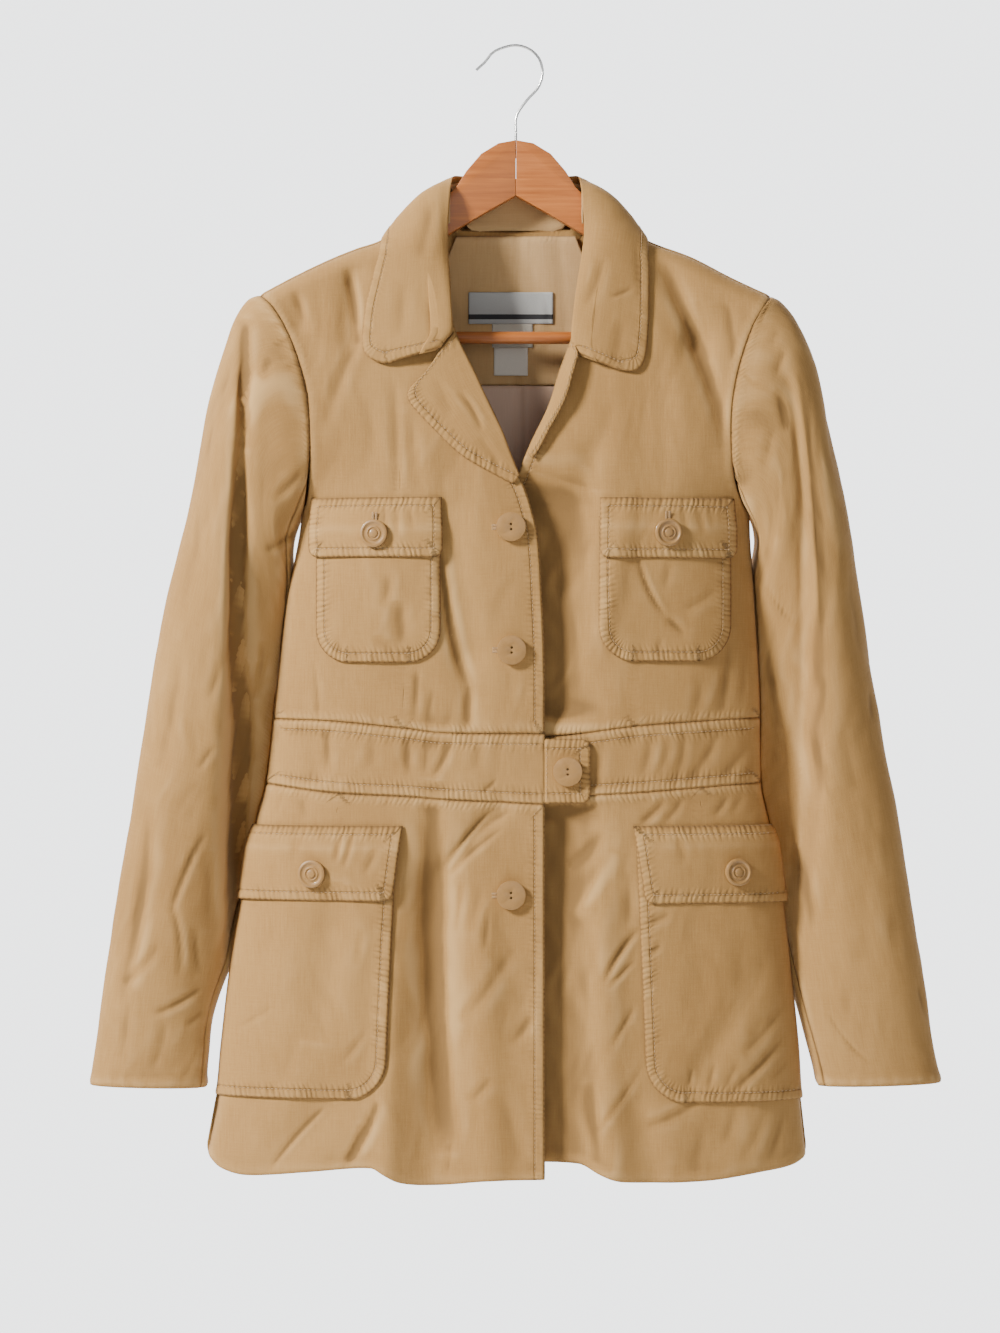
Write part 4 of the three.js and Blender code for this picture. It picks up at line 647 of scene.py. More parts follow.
# %% Crease lines
CREASES_FRONT = table("fromX fromZ toX toZ bow width height lip", [
    (-136, -176, -128, -242, 2, 3.6, -2.12, 0.3), (-179, -194, -170, -226, 1, 2.8, -1.12, 0.24),
    (-123, -230, -153, -312, -3, 5.6, -1.62, 0.18), (-98, -270, -96, -364, 1, 4.8, -1.38, 0.18),
    (-86, -296, -78, -364, 0, 5.6, -1.12, 0.18), (-115, -286, -118, -360, 0, 7.2, -0.62, 0.12),
    (-162, -494, -159, -544, 1, 2.4, -1.12, 0.24), (-59, -406, -38, -518, -4, 4, -2.5, 0.3),
    (-38, -514, -39, -550, 0, 3.2, -1.62, 0.24), (-79, -500, -81, -544, 0, 2.4, -1, 0.24),
    (-67, -518, -72, -544, 0, 2.4, -0.62, 0.24), (-152, -548, -150, -584, 0, 3.2, -1, 0.18),
    (-88, -554, -86, -586, 0, 3.2, -1.12, 0.18), (-52, -559, -68, -589, 1, 3.2, -1.38, 0.24),
    (-72, -559, -72, -588, 0, 2.4, -0.62, 0.18), (-16, -588, -28, -599, 1, 1.6, -1.12, 0.3),
    (-117, -550, -115, -582, 0, 4.8, -0.62, 0.18), (-30, -556, -34, -586, 0, 4, -0.75, 0.18),
    (-100, -425, -106, -452, 1, 4.8, -0.88, 0.18), (-114, -475, -95, -488, 0, 4, -0.62, 0.18),
    (-93, -446, -91, -482, 0, 6.4, -1.62, 0.12), (-142, -478, -138, -490, 0, 2.4, -0.62, 0.18),
    (-104, -372, -103, -395, 0, 2, -0.75, 0.24), (-95, -372, -93, -398, 0, 2, -0.75, 0.24),
    (-86, -371, -81, -391, 0, 2.4, -0.62, 0.18), (-56, -886, -66, -590, 4, 11.2, -6.5, 0.07),
    (-18, -612, -58, -660, -2, 1.8, -1.5, 0.36), (-11, -627, -54, -665, -2, 2.4, -1.12, 0.3),
    (-22, -690, -26, -727, 0, 2.4, -0.88, 0.24), (-2, -722, -46, -782, 2, 5.6, -1.25, 0.18),
    (14, -775, -4, -799, 0, 4, -1, 0.18), (-19, -824, -38, -845, 0, 4, -1, 0.18),
    (-152, -849, -198, -902, -2, 2, -1.62, 0.3), (-110, -843, -133, -894, 2, 3.2, -2.12, 0.3),
    (-123, -862, -138, -899, 2, 2.8, -1.38, 0.24), (-54, -878, -54, -902, 0, 2.4, -0.75, 0.18),
    (-13, -838, 3, -894, 0, 6.4, -0.88, 0.18), (-29, -670, -37, -710, 0, 4.8, -0.75, 0.18),
    (-142, -670, -160, -798, -3, 16, -4.2, 0.07), (-192, -769, -234, -792, 2, 2.4, -1, 0.3),
    (-122, -707, -126, -736, 0, 3.2, -0.62, 0.18), (-118, -788, -139, -815, 0, 3.2, -0.88, 0.24),
    (-173, -790, -184, -830, 0, 4.8, -0.75, 0.18), (-138, -632, -143, -655, 0, 2, -1.12, 0.3),
    (-130, -632, -137, -660, 1, 2, -1.12, 0.3), (-110, -643, -120, -664, 0, 3.2, -0.88, 0.24),
    (-173, -636, -176, -656, 0, 3.2, -0.62, 0.18), (-188, -602, -193, -618, 0, 2.4, -0.88, 0.24),
    (-173, -604, -168, -620, 0, 3.2, -0.62, 0.18), (-1, -611, -37, -638, -2, 2.4, -0.62, 0.24),
    (-43, -670, -48, -710, 0, 2.4, -0.62, 0.18), (173, -336, 111, -160, -5, 5.6, -3, 0.3),
    (168, -208, 174, -256, 1, 4, -1.12, 0.18), (119, -270, 119, -356, 0, 7.2, -0.62, 0.12),
    (147, -206, 154, -254, 0, 4.8, -0.62, 0.12), (179, -174, 183, -206, 0, 3.2, -0.62, 0.18),
    (75, -286, 59, -342, 2, 7.2, -1, 0.18), (96, -412, 118, -460, -3, 2.1, -1.62, 0.36),
    (118, -460, 133, -475, 1, 2.8, -1.25, 0.3), (162, -434, 131, -454, 2, 4, -0.88, 0.24),
    (122, -414, 117, -438, 0, 3.2, -0.75, 0.18), (115, -475, 111, -490, 0, 2.4, -0.62, 0.18),
    (131, -370, 134, -392, 0, 2, -0.75, 0.24), (142, -371, 147, -395, 1, 2.4, -0.88, 0.24),
    (154, -371, 154, -390, 0, 2, -0.62, 0.24), (171, -478, 160, -539, 3, 4.8, -1.5, 0.24),
    (182, -486, 180, -537, 2, 3.2, -1.12, 0.24), (150, -502, 139, -542, 2, 5.6, -1, 0.18),
    (75, -446, 77, -526, 0, 7.2, -0.75, 0.18), (190, -446, 195, -518, 0, 3.2, -1, 0.24),
    (67, -560, 64, -590, 0, 4, -0.62, 0.18), (107, -552, 99, -588, 2, 4, -0.88, 0.18),
    (122, -554, 111, -590, 2, 3.2, -0.75, 0.18), (134, -548, 127, -590, 2, 3.2, -1, 0.18),
    (163, -550, 139, -588, 2, 4, -1.25, 0.24), (189, -558, 163, -587, 2, 4, -1.5, 0.24),
    (193, -576, 175, -592, 1, 2.4, -0.88, 0.24), (117, -606, 99, -624, 1, 3.2, -1.38, 0.3),
    (133, -603, 119, -622, 1, 2.8, -1, 0.24), (170, -601, 157, -619, 1, 2.8, -1.25, 0.3),
    (182, -600, 171, -617, 1, 2.8, -1, 0.24), (197, -606, 186, -619, 0, 2.4, -0.88, 0.24),
    (81, -648, 45, -699, 2, 6.4, 1.75, 0), (69, -630, 42, -659, 2, 5.6, -1.12, 0.18),
    (97, -707, 68, -752, -2, 2.4, -1.88, 0.3), (94, -732, 72, -754, 0, 2.1, -1.25, 0.3),
    (94, -768, 74, -804, 0, 2.4, -1.12, 0.24), (101, -814, 63, -868, 2, 2.4, -0.88, 0.24),
    (102, -864, 144, -845, -2, 4, -1.12, 0.24), (90, -662, 88, -710, 0, 4.8, -1, 0.24),
    (55, -830, 67, -904, 0, 5.6, -1.12, 0.18), (75, -862, 72, -905, 0, 5.6, -0.75, 0.18),
    (122, -695, 106, -703, 0, 3.2, -1, 0.24), (115, -720, 104, -728, 0, 2.4, -1.12, 0.3),
    (128, -636, 133, -656, 0, 3.2, -0.75, 0.18), (199, -636, 195, -662, 0, 4, -0.62, 0.18),
    (219, -762, 179, -808, 2, 4, -1.88, 0.3), (215, -792, 171, -837, 2, 3.2, -2, 0.3),
    (223, -804, 201, -830, 2, 3.2, -1.25, 0.24), (196, -779, 186, -795, 0, 3.2, -1, 0.24),
    (139, -817, 136, -835, 0, 2, -0.88, 0.24), (158, -814, 152, -835, 0, 2.4, -1, 0.24),
    (175, -814, 165, -836, 0, 2.4, -0.88, 0.24), (147, -726, 139, -774, 0, 9.6, -1, 0.12),
    (183, -710, 175, -758, 0, 8, -1, 0.12), (200, -850, 180, -892, 2, 4, -1, 0.24),
    (215, -848, 200, -896, 2, 4, -1.38, 0.24), (175, -850, 166, -878, 0, 4, -0.62, 0.18),
    (147, -862, 139, -902, 0, 7.2, -0.75, 0.18),
])
CREASES_BACK = table("fromX fromZ toX toZ bow width height lip", [
    (-125, -166, -115, -254, 2, 6.4, -1.82, 0.24), (125, -166, 114, -256, -2, 6.4, -1.82, 0.24),
    (-149, -206, -99, -302, 5, 7.2, -1.56, 0.18), (149, -206, 99, -306, -5, 7.2, -1.43, 0.18),
    (-37, -230, -43, -382, 2, 9.6, -1.3, 0.18), (35, -246, 45, -398, -2, 9.6, -1.17, 0.18),
    (-173, -414, -99, -478, 6, 4.8, -1.69, 0.24), (176, -422, 107, -486, -6, 4.8, -1.56, 0.24),
    (-173, -462, -125, -526, 4, 4, -1.3, 0.24), (183, -466, 139, -530, -4, 4, -1.3, 0.24),
    (-77, -414, -74, -538, 2, 4.8, -1.17, 0.24), (75, -414, 70, -538, -2, 4.8, -1.17, 0.24),
    (0, -342, -2, -538, 0, 7.2, -0.91, 0.18), (-53, -550, -61, -586, 2, 3.2, -1.04, 0.24),
    (51, -550, 59, -586, -2, 3.2, -1.04, 0.24), (-125, -554, -120, -586, 0, 3.2, -0.91, 0.18),
    (131, -554, 128, -586, 0, 3.2, -0.91, 0.18), (-93, -606, -115, -686, 3, 4, -1.56, 0.3),
    (99, -606, 118, -690, -3, 4, -1.56, 0.3), (-37, -610, -43, -710, 2, 4, -1.17, 0.24),
    (35, -610, 45, -714, -2, 4, -1.17, 0.24), (-149, -630, -173, -766, 4, 6.4, -1.82, 0.24),
    (157, -630, 181, -770, -4, 6.4, -1.82, 0.24), (-77, -710, -83, -878, 2, 6.4, -2.08, 0.24),
    (77, -710, 85, -878, -2, 6.4, -1.95, 0.24), (-13, -686, -16, -878, 1, 5.6, -1.43, 0.24),
    (19, -734, 26, -878, -1, 5.6, -1.3, 0.24), (-133, -798, -165, -886, 2, 4, -1.3, 0.24),
    (134, -798, 165, -886, -2, 4, -1.3, 0.24), (-205, -766, -221, -862, 2, 4.8, -1.17, 0.18),
    (203, -766, 219, -862, -2, 4.8, -1.17, 0.18),
])
CREASES_SLEEVES = table("fromX fromZ toX toZ bow width height lip", [
    (-218, -220, -216, -326, -1, 6, -4.5, 0.07), (-218, -318, -221, -542, -2, 6, -4.4, 0.06),
    (-214, -494, -227, -734, -2, 8, -6, 0), (-194, -228, -187, -223, 0, 1.8, -0.9, 0.3),
    (-192, -242, -180, -237, 0, 1.9, -1, 0.3), (-184, -261, -174, -257, 0, 1.9, -0.8, 0.3),
    (-197, -252, -203, -270, 0, 4, -0.7, 0.18), (-170, -342, -195, -366, 2, 3.2, -1, 0.3),
    (-170, -385, -202, -408, 2, 2.7, -1.1, 0.3), (-176, -366, -184, -446, 2, 4.8, -0.7, 0.18),
    (-181, -414, -192, -478, 0, 4, -0.8, 0.18), (-203, -478, -209, -526, 0, 4, -1.2, 0.18),
    (-237, -494, -246, -526, 2, 3.2, -0.9, 0.24), (-240, -561, -253, -581, 0, 2.4, -0.9, 0.3),
    (-248, -632, -276, -696, -2, 2.4, -1.6, 0.33), (-275, -690, -270, -748, 4, 2.6, -1.3, 0.3),
    (-252, -756, -290, -776, 2, 2.8, -1.3, 0.3), (-285, -720, -314, -753, 2, 4, -1.1, 0.24),
    (-256, -706, -253, -746, -2, 3.2, -0.9, 0.24), (-250, -774, -264, -787, 0, 3.2, -0.8, 0.24),
    (-293, -606, -318, -770, 4, 6.4, -2, 0.21), (-267, -478, -286, -582, 2, 6.4, -1.2, 0.18),
    (-256, -366, -269, -462, 2, 6.4, -0.8, 0.18), (-309, -766, -315, -814, 0, 4, -0.8, 0.24),
    (-280, -782, -293, -822, 2, 4, -0.7, 0.18), (-243, -646, -246, -710, 0, 4, -0.9, 0.18),
    (-285, -446, -294, -510, 0, 3.2, -0.7, 0.24), (230, -230, 245, -606, 2, 8, -2.4, 0.06),
    (193, -224, 204, -204, 0, 1.8, -1.4, 0.36), (186, -236, 195, -220, 0, 1.9, -1.1, 0.3),
    (210, -230, 202, -242, 0, 3.2, -0.6, 0.24), (178, -263, 203, -281, -2, 1.4, -0.6, 0.24),
    (207, -279, 216, -310, 2, 4, -1.6, 0.24), (204, -310, 197, -342, 0, 4, -0.8, 0.18),
    (214, -246, 206, -268, 0, 3.2, -1, 0.24), (200, -434, 225, -468, -2, 1.6, -0.8, 0.3),
    (192, -366, 200, -414, 0, 4, -0.7, 0.18), (211, -350, 210, -398, 0, 4.8, -0.8, 0.18),
    (203, -486, 211, -550, 0, 4.8, -0.7, 0.18), (284, -518, 286, -544, 0, 2.8, -1, 0.3),
    (266, -414, 277, -494, 0, 4.8, -0.7, 0.18), (259, -550, 269, -606, 2, 4.8, -0.6, 0.18),
    (248, -774, 285, -818, -4, 1.8, -0.8, 0.3), (291, -588, 311, -768, -2, 6.4, -0.6, 0.12),
    (322, -754, 331, -785, 0, 2.4, -0.9, 0.24), (227, -646, 237, -710, 0, 4.8, -1.3, 0.18),
    (275, -670, 280, -734, 0, 7.2, -0.5, 0.18),
])
CREASES_SLEEVES_BACK = table("fromX fromZ toX toZ bow width height lip", [
    (-245, -302, -261, -462, 3, 6.4, -1.92, 0.21), (-203, -342, -222, -414, 3, 4, -1.44, 0.27),
    (-213, -438, -242, -478, 3, 3.2, -1.56, 0.3), (-221, -478, -256, -518, 3, 3.2, -1.56, 0.3),
    (-269, -478, -285, -622, 2, 6.4, -1.56, 0.18), (-230, -542, -269, -598, 3, 3.2, -1.32, 0.3),
    (-253, -638, -293, -686, 3, 3.2, -1.32, 0.3), (-261, -710, -301, -750, 2, 3.2, -1.2, 0.24),
    (-293, -686, -310, -798, 2, 5.6, -1.44, 0.18), (243, -302, 261, -462, -3, 6.4, -1.92, 0.21),
    (203, -342, 222, -414, -3, 4, -1.44, 0.27), (213, -438, 245, -478, -3, 3.2, -1.56, 0.3),
    (222, -478, 261, -518, -3, 3.2, -1.56, 0.3), (269, -478, 285, -622, -2, 6.4, -1.56, 0.18),
    (232, -542, 274, -598, -3, 3.2, -1.32, 0.3), (256, -638, 299, -686, -3, 3.2, -1.32, 0.3),
    (264, -710, 304, -750, -2, 3.2, -1.2, 0.24), (294, -686, 312, -798, -2, 5.6, -1.44, 0.18),
])
CREASES_COLLAR = table("fromX fromZ toX toZ bow width height lip", [
    (-46, -280, -27, -312, 2, 2.4, -1.17, 0.24), (94, -196, 75, -204, 1, 2, -0.91, 0.24),
    (69, -172, 54, -212, 2, 4.8, -1.17, 0.18), (-70, -126, -78, -174, 2, 6.4, -1.17, 0.18),
    (-90, -190, -94, -238, 0, 5.6, -0.78, 0.18), (-69, -206, -64, -243, 0, 3.2, -0.91, 0.18),
    (85, -222, 77, -256, 0, 5.6, -0.78, 0.18), (96, -158, 99, -206, 0, 3.2, -0.65, 0.18),
    (-29, -318, -13, -339, 0, 4, -0.78, 0.18), (-64, -270, -51, -302, 0, 5.6, -0.78, 0.18),
])


def crease_height(x, z, rows):
    total = np.zeros(x.shape)
    for x0, z0, x1, z1, bow, width, rise, lip in zip(*rows.values()):
        reach = 4 * width + abs(bow)
        near = (x > min(x0, x1) - reach) & (x < max(x0, x1) + reach)
        near &= (z > min(z0, z1) - reach) & (z < max(z0, z1) + reach)
        if not near.any():
            continue
        px, pz = x[near], z[near]
        length = math.hypot(x1 - x0, z1 - z0)
        share = np.linspace(0, 1, 9)
        hump = bow * 4 * share * (1 - share) / length
        line_x = x0 + (x1 - x0) * share - (z1 - z0) * hump
        line_z = z0 + (z1 - z0) * share + (x1 - x0) * hump
        best = np.full(px.shape, 1e9)
        hand = np.zeros(px.shape)
        run = np.zeros(px.shape)
        for step in range(8):
            dx, dz = line_x[step + 1] - line_x[step], line_z[step + 1] - line_z[step]
            part = np.clip(((px - line_x[step]) * dx + (pz - line_z[step]) * dz) / (dx * dx + dz * dz), 0, 1)
            ox, oz = px - line_x[step] - part * dx, pz - line_z[step] - part * dz
            away = np.hypot(ox, oz)
            closer = away < best
            best = np.where(closer, away, best)
            hand = np.where(closer, np.sign(dx * oz - dz * ox), hand)
            run = np.where(closer, (step + part) / 8, run)
        ends = np.sin(np.pi * np.clip(run, 0, 1)).clip(0, 1) ** 0.6
        off = best * hand / width
        total[near] += rise * ends * (np.exp(-off ** 2) - lip * np.exp(-((off - 1.7) / 1.1) ** 2))
    return total


def wave_set(seed, count, shortest, longest, height, upright=1.0):
    random = np.random.default_rng(seed)
    lengths = np.exp(random.uniform(math.log(shortest), math.log(longest), count))
    angles = random.uniform(0, 2 * math.pi, count)
    heights = height * (lengths / longest) ** 0.7 * random.uniform(0.5, 1.0, count) / math.sqrt(count / 2)
    across = 2 * math.pi / lengths * np.cos(angles)
    down = 2 * math.pi / lengths * np.sin(angles) / upright
    return across, down, random.uniform(0, 2 * math.pi, count), heights


BROAD_WAVES = wave_set(11, 18, 42, 120, 1.5, 3.0)
SMALL_WAVES = wave_set(12, 34, 9, 30, 0.20, 2.6)
WARP_WAVES = wave_set(13, 8, 60, 140, 9.0)


def unevenness(x, z, shift=0.0):
    def summed(waves, px, pz):
        total = np.zeros(px.shape)
        for across, down, phase, height in zip(*waves):
            total += height * np.sin(across * px + down * pz + phase + shift)
        return total

    bend = summed(WARP_WAVES, x, z)
    wx, wz = x + bend, z - 0.7 * bend
    return summed(BROAD_WAVES, wx, wz) + summed(SMALL_WAVES, wx, wz)


def detail(x, z, side):
    rows = CREASES_BACK if side == "back" else CREASES_FRONT
    height = crease_height(x, z, rows) + unevenness(x, z, 2.0 if side == "back" else 0.0)
    return height * calm_near_edges(x, z)


def dressed(x, z, side, lift=0.0):
    return on_body(x, z, side, detail(np.asarray(x), np.asarray(z), side) + lift)


print("creases in front:", len(CREASES_FRONT["fromX"]), "and behind:", len(CREASES_BACK["fromX"]))

# %% [markdown]
# ## Cloth as thin shells
# A cut piece is a grid of points: its outer face, a rounded edge and a coarser inner face that is
# never seen close. The grid also knows each point's place on the flat cloth, which gives the weave
# its direction and tells how far a point is from a seam. Sewing pulls the cloth in small ladders
# along every row of stitches, because the thread is tighter than the cloth. That pull is what makes
# a seam look sewn, so it is put in wherever a real jacket is stitched.

# %% Grids and shells
STEP = 2.1
# Ridges above the local mean turn paler as washed cloth; troughs below it turn darker as painted shade, and troughs
# deeper than 1.5 mm get more painted shade from the trough gain.
WEAR_AND_SHADE_GAIN = 0.5
TROUGH_SHADE_GAIN = 0.055


def steps_for(length, step=STEP):
    return 3 * max(2, round(length / step / 3))


def shares_for(length, step=STEP):
    return np.linspace(0, 1, steps_for(length, step) + 1)


def length_of(line):
    return float(np.hypot(*np.diff(line, axis=0).T[:2]).sum())


def normals_of(points, like):
    across = np.gradient(points, axis=1)
    down = np.gradient(points, axis=0)
    normals = np.cross(across, down)
    normals /= np.linalg.norm(normals, axis=-1, keepdims=True) + 1e-12
    return normals if float((normals * like).sum()) > 0 else -normals


def blurred(field, reach):
    for axis in (0, 1):
        pad = [(0, 0), (0, 0)]
        pad[axis] = (reach, reach)
        summed = np.cumsum(np.pad(field, pad, mode="edge"), axis=axis)
        summed = np.concatenate([np.zeros_like(np.take(summed, [0], axis=axis)), summed], axis=axis)
        size = field.shape[axis]
        last = np.take(summed, np.arange(size) + 2 * reach + 1, axis=axis)
        first = np.take(summed, np.arange(size), axis=axis)
        field = (last - first) / (2 * reach + 1)
    return field


def edge_loop(rows, columns):
    index = np.arange(rows * columns).reshape(rows, columns)
    return np.concatenate([index[0, :-1], index[:-1, -1], index[-1, :0:-1], index[:0:-1, 0]])


def shell(name, cloth, thickness, material):
    points, normals = cloth["points"], cloth["normals"]
    rows, columns = points.shape[:2]
    middle = (rows // 2, columns // 2)
    across = points[middle[0], middle[1] + 1] - points[middle]
    down = points[middle[0] + 1, middle[1]] - points[middle]
    turned = float(np.dot(np.cross(across, down), normals[middle])) < 0
    inner = points[::3, ::3] - normals[::3, ::3] * thickness
    loop = edge_loop(rows, columns)
    flat_points, flat_normals = points.reshape(-1, 3), normals.reshape(-1, 3)
    out = flat_points[loop] - flat_points[np.roll(loop, 1)]
    out = out + np.roll(out, -1, axis=0)
    out = np.cross(out, flat_normals[loop]) * (-1 if turned else 1)
    out /= np.linalg.norm(out, axis=-1, keepdims=True) + 1e-12
    rim = flat_points[loop] - flat_normals[loop] * thickness * 0.5 + out * thickness * 0.3
    whole = np.concatenate([flat_points, rim, inner.reshape(-1, 3)]) * MM
    index = np.arange(rows * columns).reshape(rows, columns)
    quads = np.stack([index[:-1, :-1], index[:-1, 1:], index[1:, 1:], index[1:, :-1]], axis=-1).reshape(-1, 4)
    coarse = np.arange(inner.shape[0] * inner.shape[1]).reshape(inner.shape[:2]) + rows * columns + len(loop)
    backs = np.stack([coarse[:-1, :-1], coarse[1:, :-1], coarse[1:, 1:], coarse[:-1, 1:]], axis=-1).reshape(-1, 4)
    rim_index = np.arange(len(loop)) + rows * columns
    after = np.roll(rim_index, -1)
    sides = np.stack([np.roll(loop, -1), loop, rim_index, after], axis=-1)
    inner_loop = edge_loop(*inner.shape[:2]) + rows * columns + len(loop)
    starts = np.arange(0, len(loop), 3)
    caps = np.stack([rim_index[(starts + 3) % len(loop)], rim_index[starts + 2], rim_index[starts + 1],
                     rim_index[starts], inner_loop, np.roll(inner_loop, -1)], axis=-1)
    faces = quads.tolist() + backs.tolist() + sides.tolist() + caps.tolist()
    if turned:
        faces = [face[::-1] for face in faces]
    mesh = bpy.data.meshes.new(name)
    mesh.from_pydata(whole.tolist(), [], faces)
    mesh.polygons.foreach_set("use_smooth", [True] * len(mesh.polygons))
    flat = cloth["flat"]
    flat_all = np.concatenate([flat.reshape(-1, 2), flat.reshape(-1, 2)[loop], flat[::3, ::3].reshape(-1, 2)])
    corner = np.empty(len(mesh.loops), dtype=np.int32)
    mesh.loops.foreach_get("vertex_index", corner)
    mesh.uv_layers.new(name="cloth").data.foreach_set("uv", (flat_all[corner] * MM).astype(np.float32).ravel())
    for key, kind, field in (("wear_and_shade", "FLOAT", "value"), ("pull", "FLOAT", "value"), ("sewing", "FLOAT_VECTOR", "vector")):
        values = cloth[key].reshape(rows, columns, -1)
        whole = np.concatenate([values.reshape(rows * columns, -1), values.reshape(rows * columns, -1)[loop],
                                values[::3, ::3].reshape(-1, values.shape[-1])])
        mesh.attributes.new(key, kind, "POINT").data.foreach_set(field, whole.astype(np.float32).ravel())
    mesh.materials.append(material)
    mesh.update()
    piece = bpy.data.objects.new(name, mesh)
    bpy.context.scene.collection.objects.link(piece)
    return piece


def unrolled(points):
    rows, columns = points.shape[:2]
    across = np.linalg.norm(np.diff(points, axis=1), axis=-1)
    across = np.concatenate([np.zeros((rows, 1)), np.cumsum(across, axis=1)], axis=1)
    down = np.linalg.norm(np.diff(points[:, columns // 2], axis=0), axis=-1)
    down = np.concatenate([[0], np.cumsum(down)])
    across -= across[:, columns // 2][:, None]
    return np.stack([across, -np.broadcast_to(down[:, None], across.shape)], axis=-1)


# %% Distance from a seam, and what sewing does there
def resampled(line, spacing):
    steps = np.hypot(*np.diff(line, axis=0).T)
    run = np.concatenate([[0], np.cumsum(steps)])
    at = np.linspace(0, run[-1], max(2, int(run[-1] / spacing)) + 1)
    return np.stack([np.interp(at, run, line[:, 0]), np.interp(at, run, line[:, 1])], axis=-1)


def edge_field(flat, line):
    line = resampled(line, 2.5)
    run = np.concatenate([[0], np.cumsum(np.hypot(*np.diff(line, axis=0).T))])
    places = flat.reshape(-1, 2)
    best = np.full(len(places), 60.0)
    where = np.zeros(len(places))
    low, high = line.min(axis=0) - 30, line.max(axis=0) + 30
    near = np.nonzero(((places > low) & (places < high)).all(axis=1))[0]
    for chunk in np.array_split(near, len(near) // 20000 + 1):
        if not len(chunk):
            continue
        spots = places[chunk]
        gaps = (spots[:, None, 0] - line[None, :, 0]) ** 2 + (spots[:, None, 1] - line[None, :, 1]) ** 2
        closest = gaps.argmin(axis=1)
        for start in (np.maximum(closest - 1, 0), np.minimum(closest, len(line) - 2)):
            way = line[start + 1] - line[start]
            off = spots - line[start]
            part = np.clip((off * way).sum(axis=1) / (way * way).sum(axis=1), 0, 1)
            away = np.hypot(*(off - way * part[:, None]).T)
            closer = away < best[chunk]
            best[chunk] = np.where(closer, away, best[chunk])
            where[chunk] = np.where(closer, run[start] + part * (run[start + 1] - run[start]), where[chunk])
    return best.reshape(flat.shape[:2]), where.reshape(flat.shape[:2])


def ladder(away, run, seed, pitch, slant):
    random = np.random.default_rng(seed)
    shifts = random.uniform(0, 6.28, 8)
    wander = sum(np.sin(run / spread + shift) for spread, shift in zip((23, 41, 67), shifts)) * 1.7
    place = run + wander + slant * away
    waves = 0.65 * np.sin(2 * math.pi * place / pitch + shifts[3])
    waves += 0.45 * np.sin(2 * math.pi * place / (pitch * 1.63) + shifts[4])
    waves += 0.30 * np.sin(2 * math.pi * place / (pitch * 0.61) + shifts[5])
    strength = 0.55 + 0.45 * np.sin(run / 19 + shifts[6]) * np.sin(run / 47 + shifts[7])
    return waves * np.clip(strength, 0.1, 1)


def sewn(away, run, kind, seed, pull=1.0, inset=7.6):
    pitch, slant = 7.4, 0.55
    if kind == "seam":
        dip = -0.6 * np.exp(-((away / 1.2) ** 2)) + 0.1 * np.exp(-(((away - 4.2) / 2.4) ** 2))
        return dip + pull * 0.34 * ladder(away, run, seed, pitch * 1.3, 0.3) * np.exp(-((away / 7.5) ** 2))
    if kind == "plain":
        return 0.25 * np.exp(-(((away - 4) / 3.5) ** 2)) - 0.45 * np.exp(-((away / 1.2) ** 2))
    puff = 0.12 * np.exp(-(((away - inset * 0.48) / (inset * 0.4)) ** 2))
    reach = np.exp(-(((away - inset * 0.9) / (inset * 0.8)) ** 2))
    pulled = pull * 0.22 * ladder(away, run, seed, pitch * 1.9, slant) * reach
    return puff + pulled - (0.6 if kind == "joined" else 0.4) * np.exp(-((away / 1.1) ** 2))


STITCH_LENGTH, STITCH_PITCH, STITCH_THICK = 2.3, 3.15, 0.3
stitches = {}


def stitch_along(group, cloth, line, inset):
    """Lays stitches at one distance inwards from a border line of the cloth."""
    flat = cloth["flat"].reshape(-1, 2)
    line = resampled(line, 1.0)
    way = np.gradient(line, axis=0)
    way /= np.linalg.norm(way, axis=1, keepdims=True) + 1e-9
    middle = flat.mean(axis=0)
    sideways = np.stack([-way[:, 1], way[:, 0]], axis=-1)
    if float(((middle - line) * sideways).sum()) < 0:
        sideways = -sideways
    moved = line + sideways * inset
    border = edge_loop(*cloth["flat"].shape[:2])
    fence = flat[np.append(border, border[0])][::2]
    gaps = np.hypot(moved[:, None, 0] - fence[None, :, 0], moved[:, None, 1] - fence[None, :, 1]).min(axis=1)
    moved = moved[gaps > inset - 0.8]
    if len(moved) < 6:
        return
    spots = resampled(moved, STITCH_PITCH)
    put_stitches(group, cloth, spots)


def put_stitches(group, cloth, spots, ways=None):
    flat, points, normals = cloth["flat"], cloth["points"], cloth["normals"]
    rows, columns = points.shape[:2]
    places = flat.reshape(-1, 2)
    steps = np.gradient(flat, axis=0), np.gradient(flat, axis=1)
    lifts = np.gradient(points, axis=0), np.gradient(points, axis=1)
    ways = np.gradient(spots, axis=0) if ways is None else ways
    for spot, way in zip(spots, ways):
        nearest = int(((places - spot) ** 2).sum(axis=1).argmin())
        i, j = divmod(nearest, columns)
        turn = np.array([steps[0][i, j], steps[1][i, j]]).T
        if abs(np.linalg.det(turn)) < 1e-6 or i in (0, rows - 1) or j in (0, columns - 1):
            continue
        off = np.linalg.solve(turn, spot - flat[i, j])
        along_way = np.linalg.solve(turn, way / (np.linalg.norm(way) + 1e-9))
        lift = np.array([lifts[0][i, j], lifts[1][i, j]])
        place = points[i, j] + off @ lift
        heading = along_way @ lift
        stitches.setdefault(group, []).append((place, heading / np.linalg.norm(heading), normals[i, j]))


